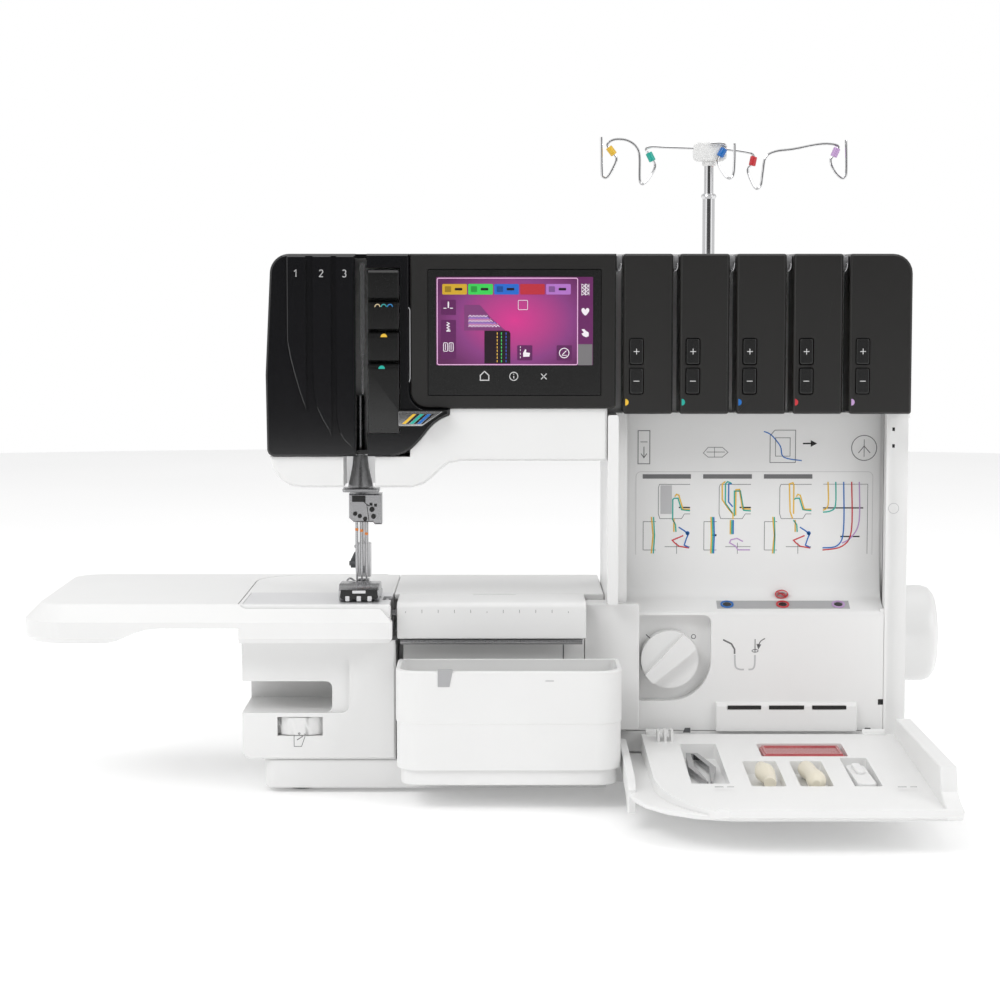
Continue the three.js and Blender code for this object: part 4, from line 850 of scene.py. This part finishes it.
piece("bin_clip", "waste_bin", "grey_plastic", LIGHT_GREY, bin_clip, 0.2)
prints("bin_dash", "printed_marks", PALE_PRINT, facing(-55.0), [([(27, 70.2), (32, 70.2)], 0.6)],
    body="waste_bin")
prints("cloth_icon", "printed_marks", PRINT, facing(1.0), [
    ([(-127.2, 20.4), (-122.6, 20.4), (-121, 25.0), (-120.4, 26.6)], 0.35),
    ([(-127.2, 20.4), (-127.2, 27.2), (-124.6, 27.2)], 0.35),
    ([(-125.4, 24.4), (-121.8, 26.8)], 0.5), (circle(-120.9, 27.6, 0.6, 12), 0.3, True),
    (circle(-124.0, 28.4, 0.5, 12), 0.3, True)])
prints("looper_cover_scale", "printed_marks", PRINT, facing(0.0), [
    ([(x, 103.6), (x, 105.6 if i % 5 else 104.6)], 0.25) for i, x in enumerate(range(-58, 50, 10))],
    body="looper_cover")

# ---------------------------------------------------------------- tools in the door
DOOR_BODY = "tool_door"


def hinge_ribs(work):
    for x in (97.4, 101.6, 105.8):
        slab(work, [(6.0, 24.0), (6.0, 29.0), (2.0, 31.5), (-6.0, 31.5), (-8.0, 22.5)], facing_right(x),
            -0.8, 0.8)


piece("door_hinge_ribs", DOOR_BODY, "white_shell", WHITE_SATIN, hinge_ribs, 0.3)


def threader(work):
    tube(work, smooth([(155, -62, 19.5), (153.4, -74, 21), (154.4, -88, 21.4), (156, -102, 20.6),
        (155, -110, 19.6)], 5),
         [2.6 + 2.2 * math.sin(math.pi * i / 20) + 0.9 * math.cos(math.pi * i / 5) for i in range(21)], 18)


piece("cream_tool_1", DOOR_BODY, "cream_plastic", CREAM, threader, 0.3)


def needle_puller(work):
    tube(work, smooth([(181, -60, 19.0), (180.4, -76, 20.6), (181.6, -92, 20.8), (182.4, -106, 20.2),
        (181.6, -112, 19.6)], 5),
         [3.0 + 2.4 * math.sin(math.pi * i / 20) + 0.8 * math.sin(math.pi * i / 6) for i in range(21)], 18)


piece("cream_tool_2", DOOR_BODY, "cream_plastic", CREAM, needle_puller, 0.3)


def white_tool(work):
    slab(work, rounded(205.5, -112, 216.5, -54, 4.6), lying(14.5), 0.1, 5.2)
    slab(work, rounded(208.4, -84, 213.6, -58, 2.2), lying(19.7), -0.2, 1.8)


piece("white_tool", DOOR_BODY, "white_shell", WHITE, white_tool, 0.6)
prints("door_icons", "printed_marks", PRINT, lying(20.6), [
    ([(122, -125), (127, -125)], 0.9), ([(129, -125), (133, -125)], 0.6),
    ([(226, -125), (231, -125)], 0.9), ([(233, -125), (237, -125)], 0.6)], body=DOOR_BODY)
prints("knife_box_frame", "red_plastic", RED_CLEAR, lying(23.0), [
    ([(160.5, -40.5), (205.5, -40.5), (205.5, -14.5), (160.5, -14.5)], 1.4, True)], body=DOOR_BODY,
    high=0.8)


# ---------------------------------------------------------------- needle clamp and presser hardware
def clamp_screws(work):
    for x, z, radius in ((-90.1, 162.7, 1.3), (-87.2, 161.2, 1.3), (-83.9, 159.5, 1.3), (-79.6, 165.4, 1.6),
        (-78.7, 161.0, 1.5)):
        disc(work, (x, 24.2, z), "y", radius, -1.4, 0.4, 16)


piece("clamp_screws", "needle_bar", "steel", RUBBER, clamp_screws, 0.15)
prints("clamp_window", "satin_black", DARK, facing(24.0), [
    [(-92, 170), (-83.6, 170), (-83.6, 174), (-92, 174)]], body="needle_bar")
prints("clamp_seams", "satin_black", DARK, facing(24.0), [
    ([(-82.8, 168.6), (-81.6, 158.4)], 0.4), ([(-84.6, 170), (-81.8, 167.6), (-80.4, 168.4)], 0.5)],
    body="needle_bar")
prints("clamp_squares", "satin_black", DARK, facing(24.0), [
    rounded(x - 0.9, z - 0.9, x + 0.9, z + 0.9, 0.2) for x, z in ((-80.2, 168.6), (-77.4, 168.0))],
    body="needle_bar")
for name, x, z in (("left", -89.3, 152.6), ("middle", -86.3, 151.9), ("right", -83.3, 149.9)):
    def needle_mark(work, x=x, z=z):
        disc(work, (x, 27, z), "z", 1.05, -0.8, 0.8, 14)
    piece(f"needle_mark_{name}", "needle_bar", "accent_plastic", ORANGE_INK, needle_mark)


def sewing_light(work):
    slab(work, rounded(-99.0, 181.0, -75.0, 199.4, 1.0), facing(40.6), -0.4, 0.0)


piece("sewing_light_lens", BODY, "white_shell", LAMP_WHITE, sewing_light)


def foot_front(work):
    slab(work, [(-98.2, 113.4), (-96.6, 112.2), (-76.4, 112.2), (-74.8, 113.4), (-75.4, 118.2),
        (-97.6, 118.2)],
         facing(-2.0), -0.2, 0.7)


piece("foot_front_face", "presser_foot", "satin_black", DARK, foot_front, 0.2)


def foot_teeth(work):
    for x in (-93.6, -86.6, -80.0):
        slab(work, rounded(x - 1.3, 111.2, x + 1.3, 114.4, 0.5), facing(-2.6), -0.4, 0.8)
    slab(work, rounded(-90.6, 116.0, -82.4, 117.8, 0.4), facing(-2.6), -0.4, 0.3)


piece("foot_teeth", "presser_foot", "chrome", PLATE_STEEL, foot_teeth, 0.15)


def side_spring(work):
    disc(work, (-92.6, 39.4, 130), "x", 1.5, -2.2, 2.0, 18)
    slab(work, [(-94.0, 127), (-89.8, 127), (-89.8, 137), (-91.6, 137), (-94.0, 132)], facing(40.6), -1.0,
        0.6)


piece("side_spring", "presser_bar", "satin_black", GREY, side_spring, 0.2)


def shank_screw(work):
    disc(work, (-85.7, 38.2, 126.4), "y", 2.2, -1.6, 0.3, 20)
    disc(work, (-90.3, 40.6, 140.6), "y", 1.4, -1.2, 0.3, 16)


piece("shank_screw", "presser_bar", "steel", SHAFT_STEEL, shank_screw, 0.25)
piece("thread_hook", "presser_foot", "chrome", NICKEL, lambda work: tube(work, smooth(
    [(-90.6, 34, 119), (-93.6, 31, 121.4), (-95.4, 27, 120.4), (-95.8, 23, 117.4)], 5), 0.6, 10))

# ---------------------------------------------------------------- studio and camera
DARK_AHEAD, SURROUNDINGS = 0.10, 0.95  # strength of the light straight ahead and all round


def studio_world():
    """Soft white surroundings, dark straight ahead of the machine so that its black fronts stay black."""
    world = bpy.data.worlds.new("studio")
    bpy.context.scene.world = world
    world.use_nodes = True
    tree = world.node_tree
    tree.nodes.clear()
    coordinates = tree.nodes.new("ShaderNodeTexCoord")
    split = tree.nodes.new("ShaderNodeSeparateXYZ")
    tree.links.new(coordinates.outputs["Generated"], split.inputs["Vector"])
    ahead = tree.nodes.new("ShaderNodeMapRange")
    ahead.interpolation_type = "SMOOTHSTEP"
    for name, value in (("From Min", -0.97), ("From Max", -0.55), ("To Min", DARK_AHEAD),
        ("To Max", SURROUNDINGS)):
        ahead.inputs[name].default_value = value
    tree.links.new(split.outputs["Y"], ahead.inputs["Value"])
    lit = tree.nodes.new("ShaderNodeBackground")
    tree.links.new(ahead.outputs["Result"], lit.inputs["Strength"])
    seen = tree.nodes.new("ShaderNodeBackground")
    seen.inputs["Color"].default_value = (1.0, 1.0, 1.0, 1.0)
    seen.inputs["Strength"].default_value = 1.0
    path = tree.nodes.new("ShaderNodeLightPath")
    mix = tree.nodes.new("ShaderNodeMixShader")
    tree.links.new(path.outputs["Is Camera Ray"], mix.inputs["Fac"])
    tree.links.new(lit.outputs["Background"], mix.inputs[1])
    tree.links.new(seen.outputs["Background"], mix.inputs[2])
    output = tree.nodes.new("ShaderNodeOutputWorld")
    tree.links.new(mix.outputs["Shader"], output.inputs["Surface"])


def soft_light(name, where, target, size, power):
    light = bpy.data.lights.new(name, "AREA")
    light.shape = "RECTANGLE"
    light.size, light.size_y = size
    light.energy = power
    piece = bpy.data.objects.new(name, light)
    bpy.context.scene.collection.objects.link(piece)
    piece.location = where
    piece.rotation_euler = (Vector(target) - Vector(where)).to_track_quat("-Z", "Y").to_euler()


FLOOR_RADIUS = 3.2
FLOOR_GLOW = 0.14


def studio_floor():
    material, tree, shader = nodes_of("pale_floor")
    tree.links.new(
        ramp(tree, noise(tree, 3.0), [(0.3, (0.94, 0.94, 0.94)), (0.7, (0.96, 0.96, 0.96))]),
        shader.inputs["Base Color"])
    shader.inputs["Roughness"].default_value = 0.9
    shader.inputs["Emission Color"].default_value = (1.0, 1.0, 1.0, 1.0)
    shader.inputs["Emission Strength"].default_value = FLOOR_GLOW
    mesh = bpy.data.meshes.new("floor")
    work = bmesh.new()
    bmesh.ops.create_circle(work, cap_ends=True, segments=96, radius=FLOOR_RADIUS)
    work.to_mesh(mesh)
    work.free()
    mesh.materials.append(material)
    piece = bpy.data.objects.new("floor", mesh)
    bpy.context.scene.collection.objects.link(piece)
    piece.location = (0, 0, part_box("foot_front_left")[0].z - 0.0001)


studio_world()
KEY_WATTS, FILL_WATTS, TOP_WATTS, LOW_WATTS = 26, 14, 13, 1.6
soft_light("key", (-1.6, -1.7, 2.2), (0, 0, 0.15), (1.6, 1.2), KEY_WATTS)
soft_light("fill", (1.9, -1.5, 1.5), (0, 0, 0.15), (1.4, 1.2), FILL_WATTS)
soft_light("top", (0, 0.3, 2.6), (0, 0, 0), (2.4, 1.6), TOP_WATTS)
soft_light("low_left", (-1.9, -1.5, 0.35), (-0.05, 0, 0.08), (0.9, 0.9), LOW_WATTS)
soft_light("low_right", (1.9, -1.5, 0.35), (0.1, 0, 0.1), (0.9, 0.9), LOW_WATTS)
studio_floor()

CAMERA_DISTANCE = 1537.0  # from the front face of the head
CAMERA_HEIGHT = 307.5
CAMERA_LENS, SENSOR_WIDTH = 90.72, 36
CAMERA_PITCH = math.atan(220 / 2520)
camera = bpy.data.objects.new("camera", bpy.data.cameras.new("camera"))
camera.data.sensor_width = SENSOR_WIDTH
camera.data.lens = CAMERA_LENS
camera.location = place(0, -CAMERA_DISTANCE, CAMERA_HEIGHT)
camera.rotation_euler = (math.pi / 2 - CAMERA_PITCH, 0, 0)
bpy.context.scene.collection.objects.link(camera)
bpy.context.scene.camera = camera
bpy.context.scene.view_settings.view_transform = "Standard"
